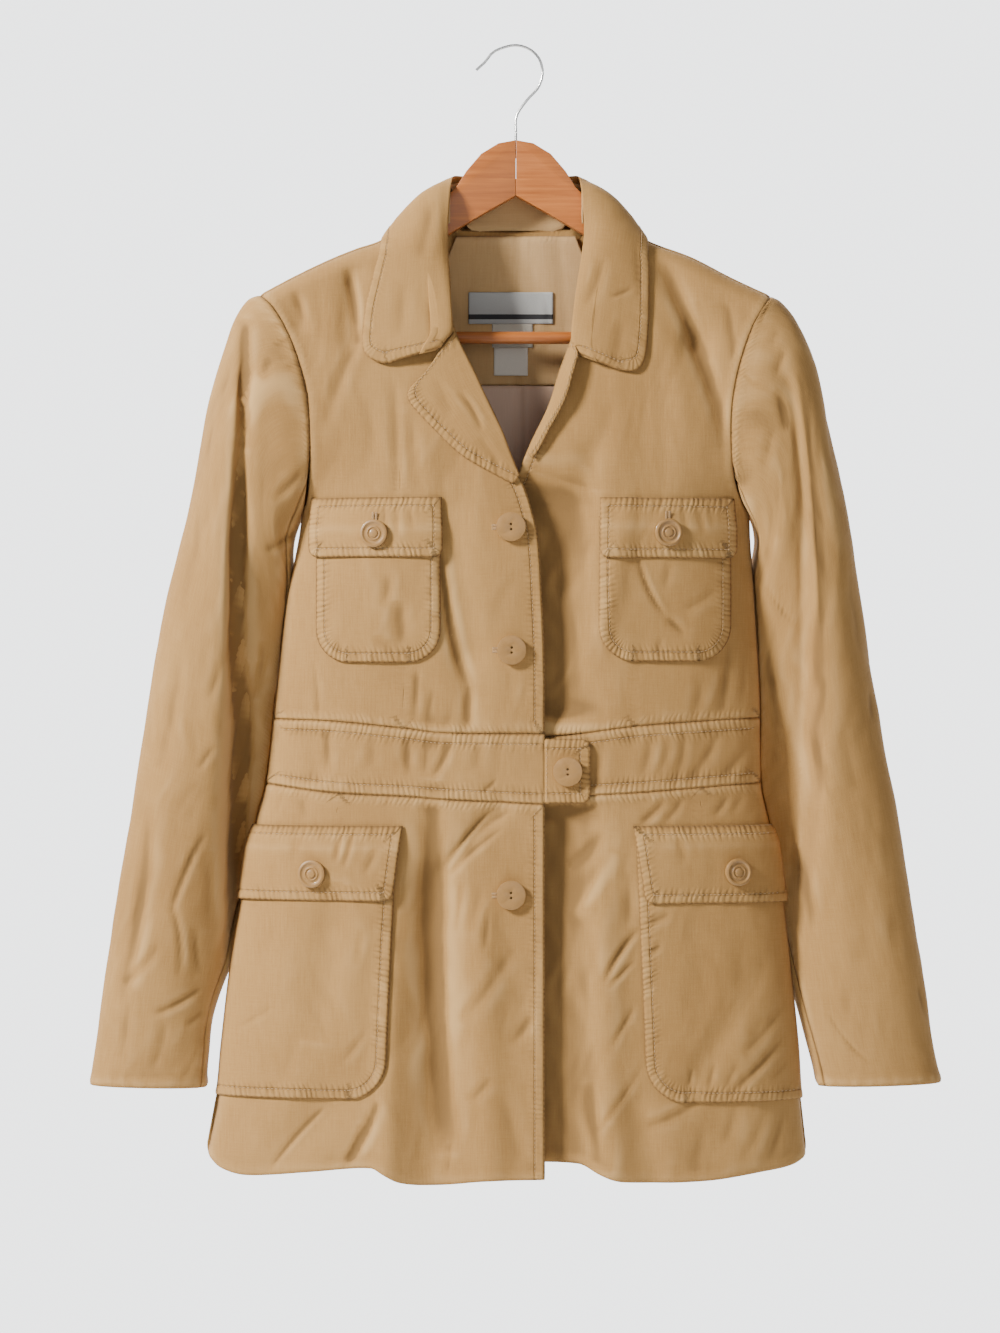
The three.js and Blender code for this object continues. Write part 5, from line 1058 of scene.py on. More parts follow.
def sew_mesh(name, rows):
    place = np.array([row[0] for row in rows])
    heading = np.array([row[1] for row in rows])
    up = np.array([row[2] for row in rows])
    side = np.cross(heading, up)
    rings = ((-0.5, 0.35, -0.12), (-0.28, 1, 0.14), (0.28, 1, 0.14), (0.5, 0.35, -0.12))
    corners = ((1, 0), (0, 1), (-1, 0), (0, -1))
    points = []
    for far, wide, lift in rings:
        for a, b in corners:
            spread = side * (a * STITCH_THICK * wide) + up * (b * STITCH_THICK * wide * 0.8 + lift)
            points.append(place + heading * far * STITCH_LENGTH + spread)
    points = np.stack(points, axis=1) * MM
    faces = []
    for ring in range(3):
        for corner in range(4):
            after = (corner + 1) % 4
            faces.append([ring * 4 + corner, ring * 4 + after, ring * 4 + 4 + after, ring * 4 + 4 + corner])
    faces += [[3, 2, 1, 0], [12, 13, 14, 15]]
    faces = np.array(faces)
    count = len(rows)
    every = (faces[None] + 16 * np.arange(count)[:, None, None]).reshape(-1, 4)
    mesh = bpy.data.meshes.new(name)
    mesh.from_pydata(points.reshape(-1, 3).tolist(), [], every[:, ::-1].tolist())
    mesh.polygons.foreach_set("use_smooth", [True] * len(mesh.polygons))
    mesh.materials.append(thread)
    mesh.update()
    piece = bpy.data.objects.new(name, mesh)
    bpy.context.scene.collection.objects.link(piece)
    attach(piece, "root")
    return piece


# %% Making a piece of cloth
made = {}


def cloth_piece(name, base, away, height, flat, thickness, material, seams=()):
    """seams are rows of a border line, the stitches' distance from it (0 for none) and their pull."""
    nearest = np.full(flat.shape[:2], 60.0)
    sewing_place = np.zeros((*flat.shape[:2], 3))
    sewing_place[..., 0] = 60.0
    pulls = np.zeros(flat.shape[:2])
    for line, inset, pull in seams:
        distance, along_it = edge_field(flat, line)
        closer = distance < nearest
        nearest = np.where(closer, distance, nearest)
        scaled = distance * (STITCH_INSET / inset if inset else 1.7)
        field = np.stack([scaled, along_it, np.full(distance.shape, 1.0 if inset else 0.0)], axis=-1)
        sewing_place = np.where(closer[..., None], field, sewing_place)
        pulls = np.where(closer, pull, pulls)
    points = base + away * height[..., None]
    normals = normals_of(points, away)
    # Paler ridges from washing; painted shade in troughs, strongest in deep folds and on the right front's strip beside
    # the left front's edge, where shadow falls.
    wear_and_shade = 0.5 + WEAR_AND_SHADE_GAIN * (height - blurred(height, 4)) - TROUGH_SHADE_GAIN * np.clip(-1.5 - height, 0, 5)
    cloth = {"points": points, "normals": normals, "flat": flat, "wear_and_shade": np.clip(wear_and_shade, 0, 1),
             "sewing": sewing_place, "pull": pulls}
    piece = shell(name + "_cloth", cloth, thickness, material)
    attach(piece, "root")
    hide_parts(name)
    across = np.linalg.norm(np.diff(points, axis=1), axis=-1)
    down = np.linalg.norm(np.diff(points, axis=0), axis=-1)
    area = float((across[:-1] * down[:, :-1]).sum()) * MM * MM
    cloth["area"] = area
    made[name] = cloth
    return cloth


print("the helpers for cloth and stitches are ready")

# %% [markdown]
# ## The body of the jacket
# Two fronts, one back, a waistband in three parts and a skirt in three parts are cut flat and sewn
# together. Each grid runs from seam to seam, and the sewing is added at its four borders. The
# waistband is stitched down close to both of its seams, which holds the jacket's waist firm.

# %% Grids of the body pieces
ARMHOLES = {"left": measured(ARMHOLE_LEFT), "right": measured(ARMHOLE_RIGHT)}
EDGES = {"left": measured(EDGE_LEFT), "right": measured(EDGE_RIGHT)}
WAISTS = {"left": WAIST_LEFT, "right": WAIST_RIGHT}
HEMS = {"left": HEM_LEFT, "right": HEM_RIGHT}
EDGE_X = {"left": FRONT_EDGE_X, "right": UNDERLAP_X}
HEM_SIDE_Z = {"left": HEM_LEFT["z"][0], "right": HEM_RIGHT["z"][-1]}
POINT_SHARE = 0.012
HEM_SIDE_RISE = 11.0
UNDERLAP_DROP = 9.0
DARTS = {
    "front_bodice_left": [(-89.6, -496, -89.6, -546), (-92, -342, -92, -361)],
    "front_bodice_right": [(94.8, -496, 95.4, -546)],
    "front_skirt_left": [(-142.4, -600, -142.4, -621)],
    "front_skirt_right": [(147.8, -598, 147.8, -619)],
}


def side_x(key, z):
    return along(SIDES, "z", key, z)


def border_down(key, first_share, foot_z, lead=None):
    shares = np.linspace(first_share, 1, 90)
    x, z = walk(ARMHOLES[key], shares)
    line = np.stack([x, flat_height(x, z)], axis=-1)
    low = np.linspace(UNDERARM_Z, foot_z, 60)[1:]
    line = np.concatenate([line, np.stack([side_x(key, low), low], axis=-1)])
    if lead is not None:
        line = np.concatenate([[lead], line])
    return line


def evenly(line, count):
    run = np.concatenate([[0], np.cumsum(np.hypot(*np.diff(line, axis=0).T))])
    at = np.linspace(0, run[-1], count)
    return np.stack([np.interp(at, run, line[:, 0]), np.interp(at, run, line[:, 1])], axis=-1)


def coons(top, foot, first, last, down):
    share = np.linspace(0, 1, len(top))[None, :, None]
    row = down[:, None, None]
    corners = mix(mix(first[0], last[0], share), mix(first[-1], last[-1], share), row)
    return mix(first[:, None], last[:, None], share) + mix(top[None], foot[None], row) - corners


def band_point(key, line, x, gap):
    return np.stack([x, along(WAISTS[key], "x", line, x) + gap], axis=-1)


def borders(flat):
    return {"top": flat[0], "foot": flat[-1], "first": flat[:, 0], "last": flat[:, -1]}


SEWING = {
    "seam": ("seam", 0.22, None), "waist": ("seam", 0.75, None), "band": ("joined", 1.0, 8.0), "edge": ("stitched", 0.8, 7.6),
    "hem": ("plain", 0.5, None), "free": ("stitched", 1.15, 7.2), "roll": (None, 0, None),
}


def sewing(flat, plan, seed):
    height = np.zeros(flat.shape[:2])
    for at, (where, kind) in enumerate(plan.items()):
        treatment, pull, inset = SEWING[kind]
        if treatment is None:
            continue
        away, run = edge_field(flat, borders(flat)[where])
        height += sewn(away, run, treatment, seed + at, pull, inset or 7.6)
    return height


def seams_of(flat, plan):
    return [(borders(flat)[where], SEWING[kind][2] or 0, SEWING[kind][1]) for where, kind in plan.items()
            if kind not in ("roll", "hem")]


def stitch_borders(group, cloth, plan):
    for where, kind in plan.items():
        inset = SEWING[kind][2]
        if inset:
            stitch_along(group, cloth, borders(cloth["flat"])[where], inset)


def body_piece(name, flat, side, plan, seed):
    x, up = flat[..., 0], flat[..., 1]
    way = along(RIDGE, "x", "z", x) + ROLL_EXTRA - up
    over = -way if side == "back" else way
    base, away = over_shoulder(x, over, "left" if side == "back" else side)
    low = np.abs(base[..., 1]) < SEAM / 2
    base[..., 1] = np.where(low, SEAM / 2 if side == "back" else -SEAM / 2, base[..., 1])
    z = over_height(x, over)
    height = detail(x, z, side)
    border = np.minimum.reduce([edge_field(flat, line)[0] for line in borders(flat).values()])
    height = height * (0.25 + 0.75 * smooth(0, 9, border)) + sewing(flat, plan, seed)
    if side == "right":
        clear = smooth(-330, -370, z) * (1 - 0.75 * smooth(-530, -550, z) * smooth(-620, -600, z))
        height = height - UNDERLAP_DROP * (1 - smooth(32, 82, x)) * clear
    darts = []
    for from_x, from_z, to_x, to_z in DARTS.get(name, ()):
        dart_x, dart_z = np.linspace(from_x, to_x, 8), np.linspace(from_z, to_z, 8)
        darts.append((np.stack([dart_x, flat_height(dart_x, dart_z)], axis=-1), 0, 0.3))
    cloth = cloth_piece(name, base, away, height, flat, CLOTH, khaki, seams_of(flat, plan) + darts)
    stitch_borders("body", cloth, plan)
    return cloth


for at, key in enumerate(("left", "right")):
    band_top = float(along(WAISTS[key], "x", "top", side_x(key, BAND_TOP_Z))) + SEAM / 2
    down_side = border_down(key, POINT_SHARE, band_top)
    rows = steps_for(length_of(down_side)) + 1
    first = evenly(down_side, rows)
    down = (first[:, 1] - first[0, 1]) / (first[-1, 1] - first[0, 1])
    columns = steps_for(215) + 1
    share = np.linspace(0, 1, columns)
    shoulder_x, neck_x = first[0, 0], EDGES[key]["x"][0]
    seam_x = mix(shoulder_x, neck_x, share)
    seam_line = along(RIDGE, "x", "z", seam_x) + ROLL_EXTRA - SHOULDER_SEAM_FORWARD - SEAM / 2
    seam_z = mix(first[0, 1], seam_line, smooth(0, 0.03, share))
    top = np.stack([seam_x, seam_z], axis=-1)
    foot_x = mix(first[-1, 0], EDGE_X[key], share)
    foot = band_point(key, "top", foot_x, SEAM / 2)
    edge_x, edge_z = walk(EDGES[key], down)
    last = np.stack([edge_x, flat_height(edge_x, edge_z)], axis=-1)
    flat = coons(top, foot, first, last, down)
    plan = {"top": "seam", "first": "seam", "foot": "waist", "last": "edge"}
    body_piece(f"front_bodice_{key}", flat, key, plan, 100 + 10 * at)

    levels = shares_for(51)[:, None]
    share = share[None, :]
    side_edge = mix(side_x(key, band_top), side_x(key, BAND_FOOT_Z), levels)
    band_x = mix(side_edge, EDGE_X[key], share)
    band_z = mix(along(WAISTS[key], "x", "top", band_x) - SEAM / 2,
                 along(WAISTS[key], "x", "bottom", band_x) + SEAM / 2, levels)
    plan = {"top": "band", "foot": "band", "first": "seam"}
    body_piece(f"front_waistband_{key}", np.stack([band_x, band_z], axis=-1), key, plan, 140 + 10 * at)

    levels = shares_for(306)[:, None]
    level_z = mix(BAND_FOOT_Z, HEM_SIDE_Z[key], levels)
    skirt_x = mix(side_x(key, level_z), EDGE_X[key], share)
    top_x = mix(side_x(key, BAND_FOOT_Z), EDGE_X[key], share)
    top_z = along(WAISTS[key], "x", "bottom", top_x) - SEAM / 2
    skirt_z = mix(top_z + 0 * levels, along(HEMS[key], "x", "z", skirt_x), levels)
    plan = {"top": "waist", "foot": "hem", "first": "seam", "last": "edge"}
    body_piece(f"front_skirt_{key}", np.stack([skirt_x, skirt_z], axis=-1), key, plan, 180 + 10 * at)
print("fronts:", [name for name in made])

# %% The back
corner_x = [float(walk(ARMHOLES[key], POINT_SHARE)[0]) for key in ("left", "right")]
leads = [(x, float(along(RIDGE, "x", "z", x)) + ROLL_EXTRA + SHOULDER_SEAM_FORWARD - SHOULDER_GAP) for x in corner_x]
sides = [border_down(key, 0.0, BAND_TOP_Z + SEAM / 2, lead) for key, lead in zip(("left", "right"), leads)]
rows = steps_for(length_of(sides[0]), 2.6) + 1
first, last = (evenly(line, rows) for line in sides)
down = (first[:, 1] - first[0, 1]) / (first[-1, 1] - first[0, 1])
columns = steps_for(400, 2.6) + 1
share = np.linspace(0, 1, columns)
neck_x = mix(first[0, 0], last[0, 0], share)
neck_over = np.interp(np.abs(neck_x), NECKLINE["x"], NECKLINE["over"])
top = np.stack([neck_x, along(RIDGE, "x", "z", neck_x) + ROLL_EXTRA + neck_over], axis=-1)
foot_z = BAND_TOP_Z + SEAM / 2
foot = np.stack([mix(first[-1, 0], last[-1, 0], share), np.full(columns, foot_z)], axis=-1)
flat = coons(top, foot, first, last, down)
body_piece("back_bodice", flat, "back", {"top": "seam", "first": "seam", "last": "seam", "foot": "waist"}, 300)


def level_grid(top_z, foot_z, step):
    z = mix(top_z, foot_z, shares_for(abs(top_z - foot_z), step))[:, None]
    return np.stack([mix(side_x("left", z), side_x("right", z), share[None, :]), z + 0 * share[None, :]], axis=-1)


band = level_grid(BAND_TOP_Z - SEAM / 2, BAND_FOOT_Z + SEAM / 2, 2.4)
body_piece("back_waistband", band, "back", {"top": "band", "foot": "band", "first": "seam", "last": "seam"}, 320)
skirt = level_grid(BAND_FOOT_Z - SEAM / 2, HEM_BACK_Z, 2.6)
risen = HEM_SIDE_RISE * smooth(0.82, 1, np.abs(2 * share - 1))[None, :]
skirt[..., 1] += risen * shares_for(abs(BAND_FOOT_Z - SEAM / 2 - HEM_BACK_Z), 2.6)[:, None]
body_piece("back_skirt", skirt, "back", {"top": "waist", "foot": "hem", "first": "seam", "last": "seam"}, 340)
print("back pieces:", made["back_bodice"]["points"].shape, made["back_skirt"]["points"].shape)

# %% [markdown]
# ## Sleeves
# Each sleeve is cut in two, a top and an under sleeve, so that it bends forward like an arm. Its
# head is eased into the armhole, and the extra cloth shows as short puckers at that seam. A hanging
# sleeve folds along its length, and the part behind the fold lies in shadow.

# %% Sleeves
ARMHOLE_RINGS, SLEEVE_SQUARE = 3, 0.8
FOLD_TURN, VALLEY_IN, VALLEY_HALF = 0.15, 0.05, 0.06
FRONT_SLEEVE_SEAM, BACK_SLEEVE_SEAM, SEAM_TURN = 0.86, 0.42, 0.002
SEAT_OFF, SEAT_OUT = (0.4, 0.2), 1.5
TUCK_BEHIND, TUCK_BACK = 4.0, 13.0
TUCK_ENDS = {"left": (-800, -700), "right": (-820, -700)}


def armhole_seat(key, half, share):
    side = "back" if half == "back" else key
    out = -1 if key == "left" else 1

    def at(place):
        return on_body(*walk(ARMHOLES[key], place), side)

    seat, normal = at(share)
    line = at(np.minimum(share + 0.004, 1))[0] - at(np.maximum(share - 0.004, 0))[0]
    off = np.cross(line, normal)
    off /= np.linalg.norm(off, axis=-1, keepdims=True)
    off = np.where(off[..., :1] * out < 0, -off, off)
    low = smooth(0.55, 0.95, share)[..., None]
    return seat + off * mix(SEAT_OFF[0], SEAT_OFF[1], low) + normal * SEAT_OUT * low


def sleeve_spot(rows, key, ring, turn):
    wrapped = np.mod(turn, 2.0)
    front = wrapped <= 1
    share = np.where(front, wrapped, 2 - wrapped)
    numbered = {**rows, "at": np.arange(len(rows["outX"]), dtype=float)}

    def section(column):
        return along(numbered, "at", column, ring)

    across = (1 - np.cos(math.pi * share)) / 2
    bulge = np.sin(math.pi * share).clip(0) ** SLEEVE_SQUARE
    settled = 1 - np.maximum(1 - ring / ARMHOLE_RINGS, 0) ** 2
    past = smooth(0, FOLD_TURN, across - section("foldAt")) * settled
    valley = section("valley") * np.exp(-(((across - section("foldAt") - VALLEY_IN) / VALLEY_HALF) ** 2))
    ahead = -(section("front") - section("behind") * past - valley * settled) * bulge
    point = np.stack([
        mix(section("outX"), section("inX"), across),
        np.where(front, ahead, section("back") * bulge),
        mix(section("outZ"), section("inZ"), across),
    ], axis=-1)
    seats = np.where(front[..., None], armhole_seat(key, "front", share), armhole_seat(key, "back", share))
    start = np.stack([
        mix(rows["outX"][0], rows["inX"][0], across),
        np.where(front, -rows["front"][0], rows["back"][0]) * bulge,
        mix(rows["outZ"][0], rows["inZ"][0], across),
    ], axis=-1)
    body_side = side_x(key, point[..., 2])
    out = -1 if key == "left" else 1
    held = smooth(-385, -440, point[..., 2]) * smooth(*TUCK_ENDS[key], point[..., 2])
    tucked = smooth(0.6, 1.0, across) * held
    gap = np.maximum((section("inX") - body_side) * out + TUCK_BEHIND, 0)
    point[..., 0] -= out * gap * tucked
    point[..., 1] += TUCK_BACK * tucked
    return point + (seats - start) * (1 - settled)[..., None]


def sleeve_piece(name, rows, key, first_turn, last_turn, seed, step):
    last_ring = len(rows["outX"]) - 1
    fine = np.linspace(0, last_ring, 500)
    numbered = {**rows, "at": np.arange(last_ring + 1, dtype=float)}
    middle_x = (along(numbered, "at", "outX", fine) + along(numbered, "at", "inX", fine)) / 2
    middle_z = (along(numbered, "at", "outZ", fine) + along(numbered, "at", "inZ", fine)) / 2
    run = np.concatenate([[0], np.cumsum(np.hypot(np.diff(middle_x), np.diff(middle_z)))])
    rings = np.interp(shares_for(run[-1], step) * run[-1], run, fine)[:, None]
    turns = mix(first_turn, last_turn, shares_for(270 * (last_turn - first_turn) / 2, step))[None, :]
    ring_grid, turn_grid = np.broadcast_arrays(rings, turns)
    base = sleeve_spot(rows, key, ring_grid, turn_grid)
    centre = np.stack([np.interp(rings, fine, middle_x), 0 * rings, np.interp(rings, fine, middle_z)], axis=-1)
    away = normals_of(base, base - centre)
    flat = unrolled(base)
    wrapped = np.mod(turn_grid, 2.0)
    front = wrapped <= 1
    inward = smooth(0.0, 0.25, np.sin(math.pi * wrapped) * np.where(front, 1, -1))
    x, z = base[..., 0], base[..., 2]
    creases = np.where(front, crease_height(x, z, CREASES_SLEEVES), crease_height(x, z, CREASES_SLEEVES_BACK))
    rough = unevenness(flat[..., 0] + 400, flat[..., 1], seed * 0.1)
    settle = smooth(0, 12, -flat[..., 1]) * smooth(0, 10, flat[..., 1] - flat[..., 1].min())
    height = creases * inward * smooth(0, 5, -flat[..., 1]) + rough * (0.3 + 0.7 * settle)
    for at, border in enumerate((flat[0], flat[:, 0], flat[:, -1])):
        distance, along_it = edge_field(flat, border)
        height += sewn(distance, along_it, "seam", seed + at, 1.2 if at == 0 else 0.4)
    distance, along_it = edge_field(flat, flat[-1])
    height += 0.5 * np.exp(-(((distance - 4) / 4) ** 2)) - 0.6 * np.exp(-((distance / 1.3) ** 2))
    height += 0.35 * ladder(distance, along_it, seed + 8, 11, 0.3) * np.exp(-((distance / 12) ** 2))
    seams = [(flat[0], 0, 0.6), (flat[:, 0], 0, 0.25), (flat[:, -1], 0, 0.25)]
    return cloth_piece(name, base, away, height, flat, CLOTH, khaki, seams)


for at, (key, rows) in enumerate((("left", SLEEVE_LEFT), ("right", SLEEVE_RIGHT))):
    top_from, top_to = SEAM_TURN - BACK_SLEEVE_SEAM, FRONT_SLEEVE_SEAM - SEAM_TURN
    under_from, under_to = FRONT_SLEEVE_SEAM + SEAM_TURN, 2 - BACK_SLEEVE_SEAM - SEAM_TURN
    sleeve_piece(f"top_sleeve_{key}", rows, key, top_from, top_to, 400 + 20 * at, 2.1)
    sleeve_piece(f"under_sleeve_{key}", rows, key, under_from, under_to, 410 + 20 * at, 2.6)
print("sleeves:", made["top_sleeve_left"]["points"].shape)

# %% [markdown]
# ## Collar and lapels
# The collar's fall turns down over a rounded roll, and the stand inside carries it up from the neck
# seam. The left lapel is the front's own cloth turned back. A row of stitches near the edges keeps
# both layers flat, and pulls rope-like ripples along the edge.

# %% Collar
COLLAR_LIFT = 3.4
ROLL_RADIUS = 1.8
WRAP = 9


def numbered_rows(rows):
    return {**rows, "at": np.arange(len(next(iter(rows.values()))), dtype=float)}


def wrapped_roll(roll, way, normal, radius, under):
    """The cloth before the roll: it comes up behind the leaf and turns over."""
    centre = (roll - normal * radius)[:, None]
    turned = np.linspace(math.pi, 0, WRAP - 3, endpoint=False)[None, :, None]
    over = centre + normal[:, None] * radius * np.cos(turned) - way[:, None] * radius * np.sin(turned)
    before = np.array([1.0, 0.66, 0.33])[None, :, None] * under
    return np.concatenate([centre - normal[:, None] * radius + way[:, None] * before, over], axis=1)


ribs = numbered_rows({key: np.concatenate([COLLAR_LEFT[key], COLLAR_RIGHT[key][::-1]]) for key in COLLAR_LEFT})
fine = np.linspace(0, ribs["at"][-1], 600)


def collar_foot(at):
    edge_x, over = along(ribs, "at", "edgeX", at), along(ribs, "at", "over", at)
    left, right = (over_shoulder(edge_x, over, key, COLLAR_LIFT) for key in ("left", "right"))
    pick = (edge_x < 0)[:, None]
    return np.where(pick, left[0], right[0]), np.where(pick, left[1], right[1])


run = np.concatenate([[0], np.cumsum(np.linalg.norm(np.diff(collar_foot(fine)[0], axis=0), axis=-1))])
at = np.interp(shares_for(run[-1]) * run[-1], run, fine)
foot, foot_normal = collar_foot(at)
roll = np.stack([along(ribs, "at", column, at) for column in ("rollX", "rollY", "rollZ")], axis=-1)
way = foot - roll
share = shares_for(62)[None, :, None]
bow = along(ribs, "at", "bow", at)[:, None, None] * np.sin(math.pi * share ** 0.7)
leaf = roll[:, None] + way[:, None] * share + foot_normal[:, None] * bow
lead = way / np.linalg.norm(way, axis=-1, keepdims=True)
lead = lead + foot_normal * 0.35
lead /= np.linalg.norm(lead, axis=-1, keepdims=True)
up = foot_normal - lead * (foot_normal * lead).sum(axis=-1, keepdims=True)
up /= np.linalg.norm(up, axis=-1, keepdims=True)
base = np.concatenate([wrapped_roll(roll, lead, up, ROLL_RADIUS, 16.0), leaf], axis=1)
away = normals_of(base, np.broadcast_to(foot_normal[:, None], base.shape))
flat = unrolled(base)
on_leaf = smooth(0, 10, flat[..., 0] - flat[:, WRAP:WRAP + 1, 0])
height = crease_height(base[..., 0], base[..., 2], CREASES_COLLAR) * (base[..., 1] < 0) * on_leaf
height += 0.55 * unevenness(flat[..., 0] + 900, flat[..., 1], 0.7) * on_leaf
for seed, border in enumerate((flat[:, -1], flat[0, WRAP:], flat[-1, WRAP:])):
    distance, along_it = edge_field(flat, border)
    height += sewn(distance, along_it, "stitched", 500 + seed, 1.25, 7.0)
collar_seams = [(border, 7.0, 0.5) for border in (flat[:, -1], flat[0, WRAP:], flat[-1, WRAP:])]
collar = cloth_piece("collar_fall", base, away, height, flat, CLOTH, khaki, collar_seams)
for border in (flat[:, -1], flat[0, WRAP:], flat[-1, WRAP:]):
    stitch_along("collar", collar, border, 7.0)

stand_rows = numbered_rows({key: np.concatenate([
    STAND[key] * (-1 if key.endswith("X") else 1), (STAND[key])[:-1][::-1]]) for key in STAND})
at = mix(0, stand_rows["at"][-1], shares_for(190))
ends = [np.stack([along(stand_rows, "at", part + axis, at) for axis in "XYZ"], axis=-1) for part in ("top", "foot")]
base = mix(ends[0][:, None], ends[1][:, None], shares_for(36)[None, :, None])
flat = unrolled(base)
inward = np.array([0, -20.0, -130.0]) - base
away = normals_of(base, -inward)
height = 0.35 * unevenness(flat[..., 0] + 1500, flat[..., 1], 0.2)
cloth_piece("collar_stand", base, away, height, flat, CLOTH, facing_khaki_painted_lighter)
print("collar:", made["collar_fall"]["points"].shape)

# %% Lapels
def lapel_piece(name, rows, side, seed, inset):
    rows = numbered_rows(rows)
    fine = np.linspace(0, rows["at"][-1], 200)
    run = np.hypot(np.diff(along(rows, "at", "edgeX", fine)), np.diff(along(rows, "at", "edgeZ", fine)))
    run += np.hypot(np.diff(along(rows, "at", "rollX", fine)), np.diff(along(rows, "at", "rollZ", fine)))
    run = np.concatenate([[0], np.cumsum(run)])
    at = np.interp(shares_for(run[-1] / 2, 1.7) * run[-1], run, fine)
    widest = float(np.max(np.hypot(rows["edgeX"] - rows["rollX"], rows["edgeZ"] - rows["rollZ"])))
    share = shares_for(widest, 1.7)[None, :]
    ends = [np.stack([along(rows, "at", part + axis, at) for axis in "XZ"], axis=-1) for part in ("roll", "edge")]
    x, z = (mix(ends[0][:, None, axis], ends[1][:, None, axis], share) for axis in (0, 1))
    start = CLOTH + SEAM
    lift = mix(start, np.maximum(along(rows, "at", "lift", at), start)[:, None], np.sin(share * 1.9))
    points, normals = on_body(x, z, side, lift)
    way = points[:, 1] - points[:, 0]
    way /= np.linalg.norm(way, axis=-1, keepdims=True)
    up = normals[:, 0] - way * (normals[:, 0] * way).sum(axis=-1, keepdims=True)
    up /= np.linalg.norm(up, axis=-1, keepdims=True)
    base = np.concatenate([wrapped_roll(points[:, 0], way, up, 2.0, 3.0), points], axis=1)
    away = normals_of(base, np.broadcast_to(normals[:, :1], base.shape))
    flat = unrolled(base)
    on_leaf = smooth(0, 6, flat[..., 0] - flat[:, WRAP:WRAP + 1, 0])
    height = crease_height(base[..., 0], base[..., 2], CREASES_COLLAR) * on_leaf
    height += 0.4 * unevenness(flat[..., 0] + 2100, flat[..., 1], seed * 0.3) * on_leaf
    for at_border, border in enumerate((flat[:, -1], flat[0, WRAP:])):
        distance, along_it = edge_field(flat, border)
        height += sewn(distance, along_it, "stitched", seed + at_border, 1.3, inset)
    seams = [(border, inset, 1.0) for border in (flat[:, -1], flat[0, WRAP:])]
    cloth = cloth_piece(name, base, away, height, flat, CLOTH - 0.2, khaki, seams)
    for border in (flat[:, -1], flat[0, WRAP:]):
        stitch_along("collar", cloth, border, inset)
    return cloth


lapel_piece("lapel_left", LAPEL_LEFT, "left", 520, 6.8)
lapel_piece("lapel_right", LAPEL_RIGHT, "right", 530, 3.0)
print("lapels:", made["lapel_left"]["points"].shape)

# %% [markdown]
# ## Inside the neck
# Through the open collar one sees a facing of the same cotton, the lining sewn below it and three
# woven labels, all of them bare. They lie on the back panel's inner side.

# %% Facing, lining and labels
FACING_TOP, FACING_FOOT, FACING_TOP_HALF, FACING_FOOT_HALF, LINING_HALF = -151, -271.5, 48, 96, 100
FACING_LIFT = CLOTH + LAID_GAP + SEAM
LABEL_LIFT = FACING_LIFT + PATCH + SEAM


def inside_piece(name, left, right, top, foot, lift, thickness, material, plan, pleats=(), step=STEP):
    down = shares_for(top - foot, step)[:, None]
    share = shares_for(abs(float(np.ravel(right(1.0))[0] - np.ravel(left(1.0))[0])), step)[None, :]
    x = mix(left(down), right(down), share)
    z = mix(top, foot, down) + 0 * share
    points, normals = on_body(x, z, "back", -(lift + thickness))
    flat = np.stack([x, z], axis=-1)
    height = np.zeros(x.shape)
    for place, width, rise, lean in pleats:
        height += rise * np.exp(-(((x - place - lean * (z - top)) / width) ** 2))
    height += sewing(flat, plan, 600) + np.maximum(0, -detail(x, z, "back"))
    cloth = cloth_piece(name, points, -normals, height, flat, thickness, material, seams_of(flat, plan))
    return cloth


def facing_half(down):
    return mix(FACING_TOP_HALF, FACING_FOOT_HALF, down)


facing_pleats = [(2, 5, -0.8, 0.0), (-14, 7, 0.6, 0.05), (20, 8, 0.5, -0.03), (-32, 6, -0.5, 0.1),
                 (34, 5, -0.5, -0.08), (-50, 8, 0.4, 0.1), (52, 8, 0.4, -0.1)]
facing = inside_piece("back_neck_facing", lambda d: -facing_half(d), facing_half, FACING_TOP, FACING_FOOT + SEAM,
                      FACING_LIFT, PATCH, facing_khaki_painted_lighter, {"top": "seam", "foot": "seam"}, facing_pleats)
lining_pleats = [(3, 3.2, -1.6, 0.0), (8, 4, 1.2, 0.0), (-30, 12, 0.7, 0.02), (36, 10, -0.7, -0.02), (-62, 9, -0.6, 0)]
inside_piece("back_lining", lambda d: -LINING_HALF + 0 * d, lambda d: LINING_HALF + 0 * d, FACING_FOOT, BAND_TOP_Z,
             FACING_LIFT, PATCH, lining, {"top": "seam"}, lining_pleats, 2.8)
LABEL_LOOKS = {"main_label": main_label_cloth, "size_label": size_label_cloth, "care_label": care_label_cloth}
for name, left, right, top, foot in LABELS:
    label = inside_piece(name, lambda d, v=left: v + 0 * d, lambda d, v=right: v + 0 * d, top, foot, LABEL_LIFT,
                         LABEL, LABEL_LOOKS[name], {}, [((left + right) / 2 - 8, 9, 0.35, 0)], 1.2)
print("inside the neck:", [name for name in made][-5:])

# %% [markdown]
# ## Pockets and flaps
# Patch pockets are cut with round lower corners, pressed over and stitched on two thirds of a
# centimetre inside the fold. They stand off the front a little, like pillows. The flaps hang free
# over them, so their edges are proud and throw a small shadow.

# %% Pockets and flaps
POCKET_LIFT = PATCH + LAID_GAP
FLAP_LIFT = 2 * POCKET_LIFT
FLAP_OVER_POCKET = FLAP_LIFT + 0.7
FLAP_CORNER, CHEST_FLAP_HEIGHT = 7, 48
HIP_EDGE_SHARE = 0.9985


